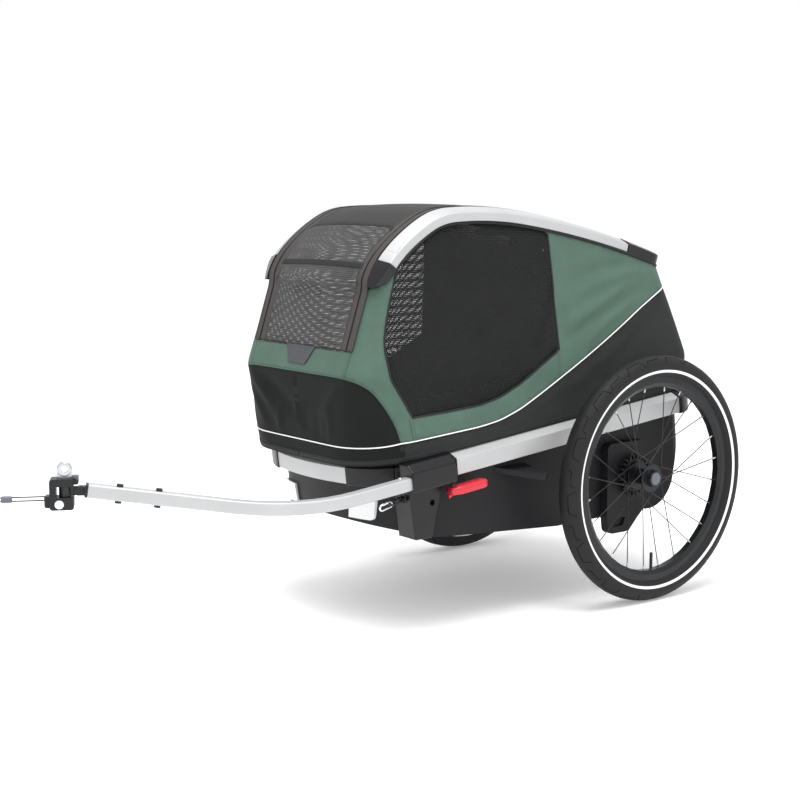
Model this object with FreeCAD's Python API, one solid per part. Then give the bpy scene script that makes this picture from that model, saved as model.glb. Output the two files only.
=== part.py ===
import FreeCAD, Part
import math
import os

V = FreeCAD.Vector
os.makedirs("parts", exist_ok=True)

# Two-wheeled dog trailer. +X is its left side, where the tow arm is, -Y is forward, +Z is up.
# Heights are above the ground and lengths along Y are from the wheel axle, in millimetres.

# Overall sizes
tyre_r = 250.0
frame_half_w = 247.0
wheel_room = 56.0
track_half = frame_half_w + wheel_room
frame_front = 639.0
frame_rear = 198.0

# Clearances shared by everything that fits together
seat_gap = 0.3
shaft_gap = 0.05
overrun = 20.0

# Round corners of drawn outlines are made in this many steps, and round bodies in this many sides
corner_steps = 3
round_sides = 16
flat_within = 1e-8
tyre_sides = 36
hub_sides = 20

# Lower frame: one extruded section, laid in a plane that rises to the rear
slope_deg = 6.3
slope_pivot_y = -467.0
frame_floor_z = 300.0
rail_w = 26.0
rail_side_h = 31.0
rail_top_h = 41.0
rail_top_flat = 6.0
rail_wall = 2.2
bow_r = 567.0
bow_deg = 11.8
boot_t = 2.5
spigot_l = 24.0
rear_corner_r = 56.0

# Moulded floor tub
tub_wall = 3.0
tub_gap = 0.4
tub_profile = {"nose_y": -700.0, "nose_z": 230.0, "keel_y": -497.0, "keel_z": 181.0, "mid_y": -186.0,
               "mid_z": 162.0, "heel_y": 62.0, "heel_z": 166.0, "tail_y": 150.0, "tail_z": 235.0,
               "back_y": 186.0, "back_z": 395.0}
tub_heel_shares = (0.72, 0.26)
tub_top_drop = 3.0
rib_h = 5.0
rib_w = 12.0
rib_pitch = 92.0
rib_count = 5
rib_end_room = 2 * rib_pitch / 3
mat_gap = 6.0
mat_t = 14.0
mat_crown = 5.0
mat_crown_share = 0.5
mat_draw = 7.0

# Wheels
tyre_w = 47.0
tyre_wall = 4.0
tyre_shoulder_half = 17.5
tyre_shoulder_d = 7.0
tyre_tread_half = 8.0
bead_r = 203.0
rim_half_w = 12.5
rim_flange_t = 1.6
rim_flange_h = 6.0
rim_well_d = 4.0
rim_well_half = 6.0
rim_depth = 15.0
rim_nose_half = 7.0
rim_shoulder_d = 7.0
valve_r = 3.2
valve_l = 34.0
spoke_r = 1.0
spoke_count = 24
spoke_sides = 6
spoke_cross_deg = 52.5
spoke_splay = 3.0
nipple_r = 1.9
nipple_l = 9.0
flange_r = 29.0
flange_t = 3.2
flange_out = -4.0
flange_in = -41.0
hub_r = 17.5
hub_nose_r = 16.0
hub_out = 9.0
hub_in = -47.0
bearing_r = 14.0
bearing_w = 8.0
axle_r = 6.0
axle_out = -1.0
button_r = 12.5
button_t = 5.0
button_depth = 8.5
button_crown = 1.2
button_proud = 1.0
hub_relief = 1.5
ring_r = 42.0
ring_t = 8.0
ring_slot_w = 6.0
ring_slot_d = 8.0
ring_slots = 24
ring_dish_r = 27.0
ring_dish_d = 3.0

# Axle brackets and parking brake
bracket_t = 20.0
bracket_top = 318.0
bracket_foot = 131.0
bracket_front = -66.0
bracket_rear = 44.0
bracket_foot_front = -60.0
bracket_foot_rear = -6.0
bracket_shoulder = 176.0
bracket_round = 14.0
bracket_pocket = 6.0
brake_pin_r = 2.6
brake_pin_circle = 37.5
brake_pin_deg = 15.0
brake_pin_l = 17.0
brake_pin_inset = 1.8
brake_pin_rest = frame_half_w - brake_pin_inset
pedal_w = 92.0
pedal_l = 50.0
pedal_t = 8.0
pedal_round = 8.0
pedal_ridges = 3
pedal_ridge_w = 3.0
pedal_ridge_h = 1.6
pedal_ear_t = 9.0
pedal_pin_r = 4.0
pedal_pin_back = 10.0
pedal_pin_drop = 12.0

# Tow arm and its receiver
arm_inset = 2.0
arm_x = frame_half_w - arm_inset
arm_side = 24.0
arm_wall = 2.2
arm_corner_r = 5.0
arm_z = 297.0
arm_z_at = -577.0
arm_entry = -580.0
arm_tail = -494.0
arm_elbow_y = -812.0
arm_bend_r = 420.0
arm_bend_steps = 8
arm_end = (75.0, -1131.0, 324.0)
arm_bolt_r = 4.0
arm_bolt_head_r = 6.5
arm_bolt_head_h = 4.5
nut_sides = 6
arm_bolt_at = (52.0, 118.0)
receiver_proud = 15.0
receiver_out = frame_half_w + receiver_proud
receiver_front = -580.0
receiver_rear = -477.0
receiver_low = 8.0
receiver_h = 38.0
receiver_crest_inset = 1.0
receiver_crest_x = frame_half_w - receiver_crest_inset
receiver_round = 5.0
receiver_seam_deg = 47.0
seam_deg = 0.1
socket_gap = 0.4
pillar_top_front = -572.0
pillar_top_rear = -490.0
pillar_foot_front = -556.0
pillar_foot_rear = -516.0
pillar_foot_z = 186.0
pillar_w = 50.0
pillar_inset = 11.0
pillar_out = frame_half_w - pillar_inset
pillar_in = pillar_out - pillar_w
pillar_hole_r = 5.0
pillar_hole_y = -516.0
pillar_hole_z = 253.0
pillar_hole_d = 12.0
snap_pin_r = 2.6
snap_pin_head_r = 4.2
snap_pin_head_h = 4.0
snap_pin_l = 14.0
snap_pin_ahead = 18.0
lever_l = 90.0
lever_w = 26.0
lever_t = 12.0
lever_tip_r = 9.0
lever_front = -494.0
lever_drop = 12.0
lever_inset = 9.0
lever_in = frame_half_w - lever_inset
lever_rib_w = 1.6
lever_rib_h = 1.2
lever_rib_l = 12.0
lever_ribs = 3
lever_rib_pitch = 17.0
lever_pin_r = 3.0
lever_tail_l = 16.0
lever_tail_h = 9.0
lever_tail_w = 6.0

# Hitch at the arm's end, along the arm's own heading
plug_gap = 0.3
plug_l = 150.0
stub_l = 16.0
stub_w = 17.0
stub_base = stub_w / 4
fork_gap = 0.3
tongue_w = 8.0
tongue_r = 7.5
cross_r = 10.0
cross_reach = 22.0
cross_pin_r = 2.5
hitch_pin_r = 4.0
jaw_h = 18.6
jaw_gap = 0.4
jaw_floor = 21.0
jaw_roof = 13.0
jaw_spine = 11.0
head_front = 25.0
head_rear = 15.0
head_w = 32.0
head_round = 5.0
cup_w = 26.0
cup_t = 5.0
cup_bore_r = 5.25
cup_boss_r = 11.5
cup_boss_t = 2.5
cup_ring_z = 37.5
cup_foot_w = 22.0
cup_foot_d = 8.0
latch_w = 12.0
latch_t = 4.0
latch_pin_r = 2.0
lock_button_r = 8.2
lock_button_l = 8.0
lock_button_proud = 3.0
lock_button_y = -9.0
lock_button_z = -20.0
anchor_l = 9.0
anchor_h = 20.0
anchor_w = 20.0
anchor_chamfer = 5.0
anchor_z = -17.0
lanyard_r = 1.1
lanyard_half = 3.2
lanyard_z = -12.0
lanyard_l = 112.0
lanyard_bead_at = 62.0
lanyard_bead_l = 18.0
lanyard_bead_r = 6.0

# Guards, reflectors and the safety hook
guard_room = 24.0
guard_l = 78.0
guard_rear = -(tyre_r + guard_room)
guard_front = guard_rear - guard_l
guard_reach = 60.0
guard_nose_r = 11.0
guard_t = 11.0
guard_z = 294.0
guard_droop_deg = 9.0
reflector_in = 87.0
reflector_out = 152.0
reflector_low = 212.0
reflector_top = 250.0
reflector_taper = 7.0
reflector_round = 9.0
reflector_t = 5.0
bail_inset = 32.0
bail_x = frame_half_w - bail_inset
bail_y = -576.0
bail_z = 262.0
bail_w = 20.0
bail_l = 24.0
bail_r = 2.2
bail_turn = 3.5
wire_sides = 8
bail_droop_deg = 14.0
lug_r = 5.5
lug_w = 12.0
lug_web_l = 3 * lug_r
hook_l = 32.0
hook_w = 14.0
hook_r = 2.0
hook_gate_r = 2.6
hook_gate_l = 12.0

# Roof rails, roof and rear hoop
roof_rail_in = 170.0
roof_rail_w = 28.0
roof_rail_h = 27.0
roof_rail_ledge = 22.0
roof_rail_fall = 8.0
roof_groove = 1.5
roof_peak_y = -375.0
roof_peak_z = 797.0
crown_r = 850.0
brow_r = 160.0
nose_r = 350.0
tip_r = 150.0
back_r = 2200.0
toe_r = 60.0
roof_arcs = ((crown_r, 4.0), (brow_r, 15.0))
mesh_arcs = ((brow_r, 9.0), (nose_r, 16.0))
cap_arcs = ((tip_r, 22.0), (toe_r, 20.0))
rear_arcs = ((crown_r, 8.0), (back_r, 7.6))
tail_arcs = ((back_r, 2.6),)
cap_t = 1.8
cap_corner_r = 66.0
cap_rear_r = 24.0
roof_rail_wall = 2.0
bow_tube_r = 7.0
nose_bow_deg = 14.0
back_bow_deg = 5.0
bow_drop = 14.0
roof_t = 2.0
roof_crown = 9.0
sheet_steps = 4
roof_drop = 4.0
hoop_x = 151.0
hoop_r = 10.0
hoop_foot_y = 159.0
hoop_foot_z = 432.0
hoop_top_y = 112.0
hoop_top_z = 648.0
hoop_bar_r = 8.0
hoop_eye_r = 13.0
knuckle_y = 84.0
knuckle_z = 646.0
knuckle_r = 13.0
knuckle_t = 6.0
knuckle_lock_y = 41.0
knuckle_lock_r = 9.0
knuckle_front = 28.0
pivot_r = 5.0
ear_t = 9.0
ear_foot_in = 24.0
ear_foot_out = 10.0

# Fabric cabin: plan sections from the lower frame to the roof
fabric_t = 1.8
skirt_inset = 14.0
cabin_levels = ({"z": 300.0, "front": 656.0, "rear": 182.0, "half": frame_half_w - skirt_inset,
                 "corner": 112.0},
                {"z": 487.0, "front": 664.0, "rear": 192.0, "half": 222.0, "corner": 74.0},
                {"z": 534.0, "front": 648.0, "rear": 176.0, "half": 216.0, "corner": 68.0},
                {"z": 650.0, "front": 611.3, "rear": 134.0, "half": 203.0, "corner": 62.0},
                {"z": 830.0, "front": 569.0, "rear": 69.0, "half": 186.0, "corner": 62.0})
cabin_rear_r = 42.0
band_low = 487.0
band_top = 534.0
door_low_half = 157.0
door_top_half = 163.0
piping = ((-640.0, 480.0), (-617.0, 437.0), (-580.0, 369.0), (-396.0, 383.0), (-345.0, 392.0),
          (-293.0, 409.0), (-186.0, 460.0), (-71.0, 519.0), (123.0, 628.0))
window = ((-555.0, 414.0), (-394.0, 422.0), (-344.0, 433.0), (-292.0, 456.0), (-187.0, 516.0),
          (-169.0, 727.0), (-330.0, 752.0), (-440.0, 752.0), (-500.0, 732.0), (-562.0, 676.0),
          (-600.0, 569.0), (-602.0, 520.0))
mesh_top = 647.0
door_depth = 480.0
rear_door_half = 160.0
rear_door_low = 470.0
piping_run_shares = (1.0, 0.56)
cabin_low = 250.0
cabin_high = 900.0


def polygon(points):
    return Part.Face(Part.makePolygon(points + points[:1]))


def box(low, high):
    size = [b - a for a, b in zip(low, high)]
    return Part.makeBox(*size, V(*low))


def pin(start, end, radius):
    """A true cylinder, for shafts and for the bores that they run in."""
    axis = end - start
    return Part.makeCylinder(radius, axis.Length, start, axis)


def rod(start, end, radius):
    return bar(start, end, radius, round_sides)


def bar(start, end, radius, sides):
    """A straight bar with a regular section."""
    axis = unit(end - start)
    across = unit(axis.cross(V(0, 0, 1) if abs(axis.z) < abs(axis.x) + abs(axis.y) else V(1, 0, 0)))
    up = across.cross(axis)
    turns = [2 * math.pi * i / sides for i in range(sides)]
    return polygon([start + across * (radius * math.cos(a)) + up * (radius * math.sin(a)) for a in turns]).extrude(
        end - start)


def unit(vector):
    return vector * (1.0 / vector.Length)


def side_prism(points, x_low, x_high):
    """A closed side-view outline, (y, z) points, drawn across the trailer."""
    return polygon([V(x_low, y, z) for y, z in points]).extrude(V(x_high - x_low, 0, 0))


def solid_of(faces):
    return Part.makeSolid(Part.makeShell(faces))


def turned(points, sides):
    """A closed (x, r) outline carried round the X axis in flat sides."""
    turns = [2 * math.pi * i / sides for i in range(sides)]
    rings = [[V(x, r * math.sin(a), r * math.cos(a)) for x, r in points] for a in turns]
    faces = []
    for near, far in zip(rings, rings[1:] + rings[:1]):
        for i in range(len(points)):
            corners = []
            for corner in (near[i - 1], near[i], far[i], far[i - 1]):
                if corner not in corners:
                    corners.append(corner)
            if len(corners) > 2:
                faces.append(polygon(corners))
    return solid_of(faces)


def skin(sections, closed):
    """A solid with flat faces through outlines of equal count, capped at both ends unless it closes on itself."""
    faces = []
    following = sections[1:] + sections[:1] if closed else sections[1:]
    for near, far in zip(sections, following):
        for i in range(len(near)):
            corners = [near[i - 1], near[i], far[i], far[i - 1]]
            across = (corners[1] - corners[0]).cross(corners[3] - corners[0])
            if abs((corners[2] - corners[0]).dot(unit(across))) < flat_within:
                faces.append(polygon(corners))
            else:
                faces.append(polygon(corners[:3]))
                faces.append(polygon([corners[0]] + corners[2:]))
    if not closed:
        faces += [polygon(list(sections[0])), polygon(list(sections[-1]))]
    return solid_of(faces)


def rounded_plan(half, front, rear, front_r, rear_r, z):
    """A closed plan outline, a rectangle with its corners rounded in short steps."""
    points = []
    for side, y, r, start in ((1, front, front_r, -90), (1, rear, rear_r, 0), (-1, rear, rear_r, 90),
                              (-1, front, front_r, 180)):
        centre = V(side * (half - r), y + r if y == front else y - r, z)
        for j in range(corner_steps + 2):
            turn = math.radians(start + 90.0 * j / (corner_steps + 1))
            points.append(centre + V(r * math.cos(turn), r * math.sin(turn), 0))
    return points + points[:1]


def grown(points, gap):
    """A closed outline moved outwards by a gap."""
    count = len(points)
    area = sum(points[i - 1][0] * points[i][1] - points[i][0] * points[i - 1][1] for i in range(count))
    facing = 1 if area > 0 else -1
    made = []
    for i in range(count):
        before, here, after = points[i - 1], points[i], points[(i + 1) % count]
        a = unit(V(here[0] - before[0], here[1] - before[1], 0))
        b = unit(V(after[0] - here[0], after[1] - here[1], 0))
        out = V(a.y + b.y, -a.x - b.x, 0)
        shift = out * (facing * gap * 2 / out.dot(out))
        made.append((here[0] + shift.x, here[1] + shift.y))
    return made


def mirrored(shape):
    return shape.mirror(V(), V(1, 0, 0))


def pair(shape):
    return Part.makeCompound([shape, mirrored(shape)])


def tilted(shape):
    """From the level drawing of the lower frame to its place, rising to the rear."""
    placed = shape.copy()
    placed.translate(V(0, 0, frame_floor_z))
    placed.rotate(V(0, slope_pivot_y, frame_floor_z), V(1, 0, 0), slope_deg)
    return placed


def tilted_point(x, y, up):
    slope = math.radians(slope_deg)
    along = y - slope_pivot_y
    return V(x, slope_pivot_y + along * math.cos(slope) - up * math.sin(slope),
             frame_floor_z + along * math.sin(slope) + up * math.cos(slope))


def softened(shape, radius, wanted):
    """Rounds the edges that the test picks, all with one radius."""
    edges = [edge for edge in shape.Edges if wanted(edge)]
    return shape.makeFillet(radius, edges)


def along(edge, axis):
    """True for a straight edge that runs along the axis."""
    ends = edge.Vertexes
    if len(ends) < 2:
        return False
    run = ends[-1].Point - ends[0].Point
    return abs(run.Length - abs(run.dot(axis))) < 1e-6 * max(run.Length, 1)


# Lower frame outline, drawn level

bow_sin = math.sin(math.radians(bow_deg))
bow_cos = math.cos(math.radians(bow_deg))
corner_r = (frame_half_w - bow_r * bow_sin) / (1 - bow_sin)
bow_centre_y = bow_r - frame_front
corner_x = frame_half_w - corner_r
corner_y = bow_centre_y - (bow_r - corner_r) * bow_cos


def frame_outline(inset, z):
    """The frame's outer line in plan, moved inwards."""
    half = frame_half_w - inset
    bow = bow_r - inset
    turn = corner_r - inset
    back = frame_rear - inset
    back_r = rear_corner_r - inset
    back_x = half - back_r
    back_y = back - back_r
    diag = math.sqrt(0.5)
    mid = math.radians((bow_deg + 90) / 2)
    joint = V(bow * bow_sin, bow_centre_y - bow * bow_cos, z)
    right_joint = V(-joint.x, joint.y, z)
    corner_mid = V(corner_x + turn * math.sin(mid), corner_y - turn * math.cos(mid), z)
    back_mid = V(back_x + back_r * diag, back_y + back_r * diag, z)
    edges = [Part.Arc(right_joint, V(0, bow_centre_y - bow, z), joint).toShape(),
             Part.Arc(joint, corner_mid, V(half, corner_y, z)).toShape(),
             Part.LineSegment(V(half, corner_y, z), V(half, back_y, z)).toShape(),
             Part.Arc(V(half, back_y, z), back_mid, V(back_x, back, z)).toShape(),
             Part.LineSegment(V(back_x, back, z), V(-back_x, back, z)).toShape(),
             Part.Arc(V(-back_x, back, z), V(-back_mid.x, back_mid.y, z), V(-half, back_y, z)).toShape(),
             Part.LineSegment(V(-half, back_y, z), V(-half, corner_y, z)).toShape(),
             Part.Arc(V(-half, corner_y, z), V(-corner_mid.x, corner_mid.y, z), right_joint).toShape()]
    return Part.Wire(edges)


def rail_section(grow):
    """The frame's section, (inwards, up) from its outer lower edge; grow is negative for the hollow."""
    low = -grow
    inner = rail_w if grow > 0 else rail_w + grow
    shoulder = rail_w - rail_top_flat
    return [(low, low), (low, rail_side_h + grow), (shoulder, rail_top_h + grow), (inner, rail_top_h + grow),
            (inner, low)]


def straight_bar(grow, y_low, y_high):
    points = [V(frame_half_w - inwards, y_low, up) for inwards, up in rail_section(grow)]
    return polygon(points).extrude(V(0, y_high - y_low, 0))


def bowed_bar(grow, deg_low, deg_high):
    """A stretch of the front bow, between two headings from straight ahead."""
    points = [V(0, bow_centre_y - bow_r + inwards, up) for inwards, up in rail_section(grow)]
    bar = polygon(points).revolve(V(0, bow_centre_y, 0), V(0, 0, 1), deg_high - deg_low)
    bar.rotate(V(0, bow_centre_y, 0), V(0, 0, 1), deg_low)
    return bar


def corner_bar(grow, deg_low, deg_high):
    """A stretch of the left front corner, between two headings from straight ahead."""
    points = [V(corner_x, corner_y - corner_r + inwards, up) for inwards, up in rail_section(grow)]
    bar = polygon(points).revolve(V(corner_x, corner_y, 0), V(0, 0, 1), deg_high - deg_low)
    bar.rotate(V(corner_x, corner_y, 0), V(0, 0, 1), deg_low)
    return bar


def rear_bar(grow, x_low, x_high):
    points = [V(x_low, frame_rear - inwards, up) for inwards, up in rail_section(grow)]
    return polygon(points).extrude(V(x_high - x_low, 0, 0))


def rear_corner_bar(grow):
    x = frame_half_w - rear_corner_r
    y = frame_rear - rear_corner_r
    points = [V(frame_half_w - inwards, y, up) for inwards, up in rail_section(grow)]
    return polygon(points).revolve(V(x, y, 0), V(0, 0, 1), 90)


rail_front = corner_y + seat_gap
rail_back = frame_rear - rear_corner_r
spigot_fit = -(rail_wall + seat_gap)
bow_spigot_deg = math.degrees(spigot_l / bow_r)


def side_rail():
    bore = straight_bar(-rail_wall, rail_front - overrun, rail_back + overrun)
    bar = straight_bar(0, rail_front, rail_back - seat_gap).cut(bore)
    return tilted(bar)


def front_crossbar():
    bar = bowed_bar(0, -bow_deg, bow_deg).cut(bowed_bar(-rail_wall, -2 * bow_deg, 2 * bow_deg))
    return tilted(bar)


def rear_crossbar():
    half = frame_half_w - rear_corner_r - seat_gap
    bar = rear_bar(0, -half, half).cut(rear_bar(-rail_wall, -half - overrun, half + overrun))
    return tilted(bar)


def bow_spigot():
    return bowed_bar(spigot_fit, bow_deg - bow_spigot_deg, bow_deg + bow_spigot_deg / 2)


def rail_spigot():
    return straight_bar(spigot_fit, corner_y - boot_t, corner_y + spigot_l)


def front_corner():
    """Plastic corner with a spigot into the bowed bar and one into the side rail."""
    return tilted(corner_bar(boot_t, bow_deg + seam_deg, 90).fuse([bow_spigot(), rail_spigot()]))


def receiver_corner():
    """The corner on the arm's side, cut short where the arm receiver takes over."""
    return tilted(corner_bar(boot_t, bow_deg + seam_deg, receiver_seam_deg - seam_deg).fuse(bow_spigot()))


def rear_corner():
    """Plastic rear corner with a spigot into the side rail and one into the rear bar."""
    half = frame_half_w - rear_corner_r
    elbow = rear_corner_bar(boot_t)
    side_spigot = straight_bar(spigot_fit, rail_back - spigot_l, rail_back + boot_t)
    bar_spigot = rear_bar(spigot_fit, half - spigot_l, half + boot_t)
    return tilted(elbow.fuse([side_spigot, bar_spigot]))


# Floor tub

def tub_side(inset):
    """The tub's side view, moved inwards."""
    p = tub_profile
    top = rail_top_h + frame_floor_z + frame_half_w
    points = [(p["nose_y"], top), (p["nose_y"], p["nose_z"] + inset), (p["keel_y"], p["keel_z"] + inset),
              (p["mid_y"], p["mid_z"] + inset), (p["heel_y"], p["heel_z"] + inset)]
    start = V(0, p["heel_y"], p["heel_z"] + inset)
    bend = V(0, p["tail_y"] - inset, p["tail_z"] + inset)
    end = V(0, p["back_y"] - inset, p["back_z"])
    along_y, along_z = tub_heel_shares
    swing = V(0, start.y + (bend.y - start.y) * along_y, start.z + (bend.z - start.z) * along_z)
    edges = [Part.LineSegment(V(0, *a), V(0, *b)).toShape() for a, b in zip(points, points[1:])]
    edges.append(Part.Arc(start, swing, bend).toShape())
    edges.append(Part.LineSegment(bend, end).toShape())
    edges.append(Part.LineSegment(end, V(0, end.y, top)).toShape())
    edges.append(Part.LineSegment(V(0, end.y, top), V(0, p["nose_y"], top)).toShape())
    face = Part.Face(Part.Wire(edges))
    face.translate(V(-frame_half_w, 0, 0))
    return face.extrude(V(2 * frame_half_w, 0, 0))


tub_inset = rail_w + tub_gap


def tub_block(inset, top):
    prism = Part.Face(frame_outline(tub_inset + inset, -frame_floor_z)).extrude(V(0, 0, frame_floor_z + top))
    return tilted(prism).common(tub_side(inset))


def floor_tub():
    tub = tub_block(0, rail_top_h - tub_top_drop).cut(tub_block(tub_wall, rail_top_h + overrun))
    floor_z = tub_profile["mid_z"]
    rib_top = tub_profile["keel_z"] + tub_wall + rib_h
    half = frame_half_w - tub_inset - rib_end_room
    ribs = []
    for i in range(rib_count):
        y = tub_profile["keel_y"] + rib_pitch * (i + 0.5)
        rib = box((-half, y - rib_w / 2, floor_z), (half, y + rib_w / 2, rib_top))
        ribs.append(rib.common(tub_side(tub_wall / 2)))
    return tub.fuse(ribs)


def floor_mat():
    """Padded mat on the ribs: crowned in the middle and drawn in at its sides."""
    base = tub_profile["keel_z"] + tub_wall + rib_h + seat_gap
    front = tub_profile["keel_y"] + mat_gap
    rear = tub_profile["heel_y"] - mat_gap
    half = frame_half_w - tub_inset - tub_wall - mat_gap

    def layer(draw, z):
        turn = mat_draw + mat_t
        return rounded_plan(half - draw, front + draw, rear - draw, turn, turn, z)[:-1]

    layers = [layer(mat_draw / 2, base), layer(0, base + mat_t / 2), layer(mat_draw, base + mat_t),
              layer(mat_draw + half * mat_crown_share, base + mat_t + mat_crown)]
    return skin(layers, False)


# Wheel, drawn about the X axis with its outer side towards +X

def tyre():
    """Hollow tyre on its two beads."""
    half = tyre_w / 2
    bead = rim_half_w - rim_flange_t - seat_gap
    foot = bead_r + seat_gap
    lip = bead_r + rim_flange_h + seat_gap
    belly = tyre_r - half
    shoulder = tyre_r - tyre_shoulder_d
    outer = [(bead, foot), (bead, lip), (half, belly), (tyre_shoulder_half, shoulder), (tyre_tread_half, tyre_r)]
    inner = [(-bead + tyre_wall, foot), (-half + tyre_wall, belly), (-tyre_shoulder_half, shoulder - tyre_wall)]
    left = [(-x, r) for x, r in reversed(outer)]
    return turned(outer + left + inner + [(-x, r) for x, r in reversed(inner)], tyre_sides)


def rim():
    """Rim with its bead flanges and well, and the valve stem standing in it."""
    wall = rim_half_w - rim_flange_t
    top = bead_r + rim_flange_h
    well = bead_r - rim_well_d
    nose = bead_r - rim_depth
    shoulder = bead_r - rim_shoulder_d
    half = [(rim_well_half, well), (rim_well_half, bead_r), (wall, bead_r), (wall, top), (rim_half_w, top),
            (rim_half_w, shoulder), (rim_nose_half, nose)]
    other = [(-x, r) for x, r in reversed(half)]
    ring = turned(half + other, tyre_sides)
    flat = nose * math.cos(math.pi / tyre_sides)
    valve = rod(V(0, 0, seat_gap - flat), V(0, 0, valve_l - flat), valve_r)
    return Part.makeCompound([ring, valve])


def spokes():
    """Crossed spokes from both hub flanges, each with its nipple at the rim."""
    rim_end = (bead_r - rim_depth) * math.cos(math.pi / tyre_sides) - seat_gap
    root = flange_r + spoke_r + seat_gap
    made = []
    for i in range(spoke_count):
        outer = i % 2 == 0
        lean = 1 if (i // 2) % 2 == 0 else -1
        flange = flange_out if outer else flange_in
        rim_angle = math.radians(360.0 / spoke_count * i + 180.0 / spoke_count)
        hub_angle = rim_angle + lean * math.radians(spoke_cross_deg)
        start = V(flange + lean * flange_t / 2, root * math.sin(hub_angle), root * math.cos(hub_angle))
        end = V(lean * spoke_splay, rim_end * math.sin(rim_angle), rim_end * math.cos(rim_angle))
        run = end - start
        collar = end - run * (nipple_l / run.Length)
        made.append(bar(start, collar, spoke_r, spoke_sides).fuse(bar(collar, end, nipple_r, spoke_sides)))
    return Part.makeCompound(made)


def hub():
    """Hub shell with two spoke flanges, two bearing seats and the button's well."""
    out_low = flange_out - flange_t / 2
    out_high = flange_out + flange_t / 2
    in_low = flange_in - flange_t / 2
    in_high = flange_in + flange_t / 2
    shell = [(hub_in, hub_r), (in_low, hub_r), (in_low, flange_r), (in_high, flange_r), (in_high, hub_nose_r),
             (out_low, hub_nose_r), (out_low, flange_r), (out_high, flange_r), (out_high, hub_r), (hub_out, hub_nose_r)]
    seat = bearing_r + shaft_gap
    well = button_r + shaft_gap
    land = hub_out - button_depth
    bore = [(hub_out, well), (land, well), (land, axle_r + hub_relief), (axle_out, axle_r + hub_relief), (axle_out, seat),
            (axle_out - bearing_w, seat), (axle_out - bearing_w, bearing_r - flange_t),
            (hub_in + bearing_w, bearing_r - flange_t), (hub_in + bearing_w, seat), (hub_in, seat)]
    return turned(shell + bore, hub_sides)


def bearings():
    inner = (axle_r + shaft_gap) / math.cos(math.pi / hub_sides)
    seats = ((axle_out - bearing_w, axle_out), (hub_in, hub_in + bearing_w))
    return Part.makeCompound([turned([(a + shaft_gap, inner), (b - shaft_gap, inner), (b - shaft_gap, bearing_r),
                                      (a + shaft_gap, bearing_r)], hub_sides) for a, b in seats])


def brake_ring():
    """Toothed brake ring pressed against the hub's inner end."""
    face = hub_in - seat_gap / 2
    back = face - ring_t
    bore = axle_r + hub_relief
    half = ring_slot_w / 2
    outline = []
    for i in range(ring_slots):
        turn = 2 * math.pi * i / ring_slots
        out = V(0, math.sin(turn), math.cos(turn))
        side = V(0, math.cos(turn), -math.sin(turn))
        floor_r = ring_r - ring_slot_d
        for across, reach_out in ((-half, ring_r), (-half, floor_r), (half, floor_r), (half, ring_r)):
            outline.append(V(back, 0, 0) + out * reach_out + side * across)
    dish = rod(V(back - overrun, 0, 0), V(back + ring_dish_d, 0, 0), ring_dish_r)
    hole = rod(V(back - overrun, 0, 0), V(face + overrun, 0, 0), bore)
    return polygon(outline).extrude(V(ring_t, 0, 0)).cut([dish, hole])


def hub_button():
    """Push button in the hub's well, with a low crown."""
    base = hub_out - button_t + button_proud
    top = base + button_t
    r = button_r - shaft_gap
    crown = top + button_crown
    return turned([(base, 0), (base, r), (top, r), (crown, r - 2 * button_crown), (crown, 0)], hub_sides)


def at_wheel(shape, side):
    placed = shape.copy() if side > 0 else mirrored(shape)
    placed.translate(V(side * track_half, 0, tyre_r))
    return placed


def wheel_axles():
    start = frame_half_w - tub_inset + seat_gap
    end = track_half + axle_out - seat_gap
    return pair(pin(V(start, 0, tyre_r), V(end, 0, tyre_r), axle_r))


def brake_pin_place():
    turn = math.radians(brake_pin_deg)
    return -brake_pin_circle * math.sin(turn), tyre_r - brake_pin_circle * math.cos(turn)


def axle_bracket():
    """Moulded bracket on the tub's wall: a broad head round the axle and a narrow foot."""
    start = frame_half_w - tub_inset + seat_gap
    outline = [(bracket_front, bracket_top), (bracket_front, bracket_shoulder), (bracket_foot_front, bracket_foot),
               (bracket_foot_rear, bracket_foot), (bracket_rear, bracket_shoulder), (bracket_rear, bracket_top)]
    plate = side_prism(outline, start, start + bracket_t)
    plate = softened(plate, bracket_round, lambda edge: along(edge, V(1, 0, 0)))
    rail_room = tilted(straight_bar(boot_t, -frame_front, frame_rear))
    pin_y, pin_z = brake_pin_place()
    far = start + bracket_t + overrun
    pocket_top = bracket_shoulder - bracket_round
    pocket = side_prism([(bracket_foot_front + bracket_round, pocket_top), (bracket_foot_front + bracket_round,
                         bracket_foot + bracket_round), (bracket_foot_rear - bracket_round,
                         bracket_foot + bracket_round), (bracket_foot_rear - bracket_round / 2, pocket_top)],
                        start + bracket_t - bracket_pocket, far)
    cuts = [rail_room, pin(V(0, 0, tyre_r), V(far, 0, tyre_r), axle_r + shaft_gap),
            pin(V(0, pin_y, pin_z), V(far, pin_y, pin_z), brake_pin_r + shaft_gap), pocket]
    return plate.cut(cuts)


def brake_pin():
    y, z = brake_pin_place()
    return pin(V(brake_pin_rest - brake_pin_l, y, z), V(brake_pin_rest, y, z), brake_pin_r)


def pedal_pin_place():
    return frame_rear - pedal_pin_back, -pedal_pin_drop


def pedal_mount():
    """Two ears under the rear crossbar with the pedal's pin between them."""
    y, z = pedal_pin_place()
    near = pedal_w / 2 + seat_gap
    far = near + pedal_ear_t
    barrel_r = pedal_pin_r * 2
    made = []
    for side in (-1, 1):
        low, high = sorted((side * near, side * far))
        lobe = rod(V(low, y, z), V(high, y, z), barrel_r)
        cheek = box((low, y - barrel_r, z), (high, y + barrel_r, -seat_gap / 2))
        made.append(lobe.fuse(cheek))
    shaft = pin(V(-far, y, z), V(far, y, z), pedal_pin_r)
    return tilted(shaft.fuse(made))


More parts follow.
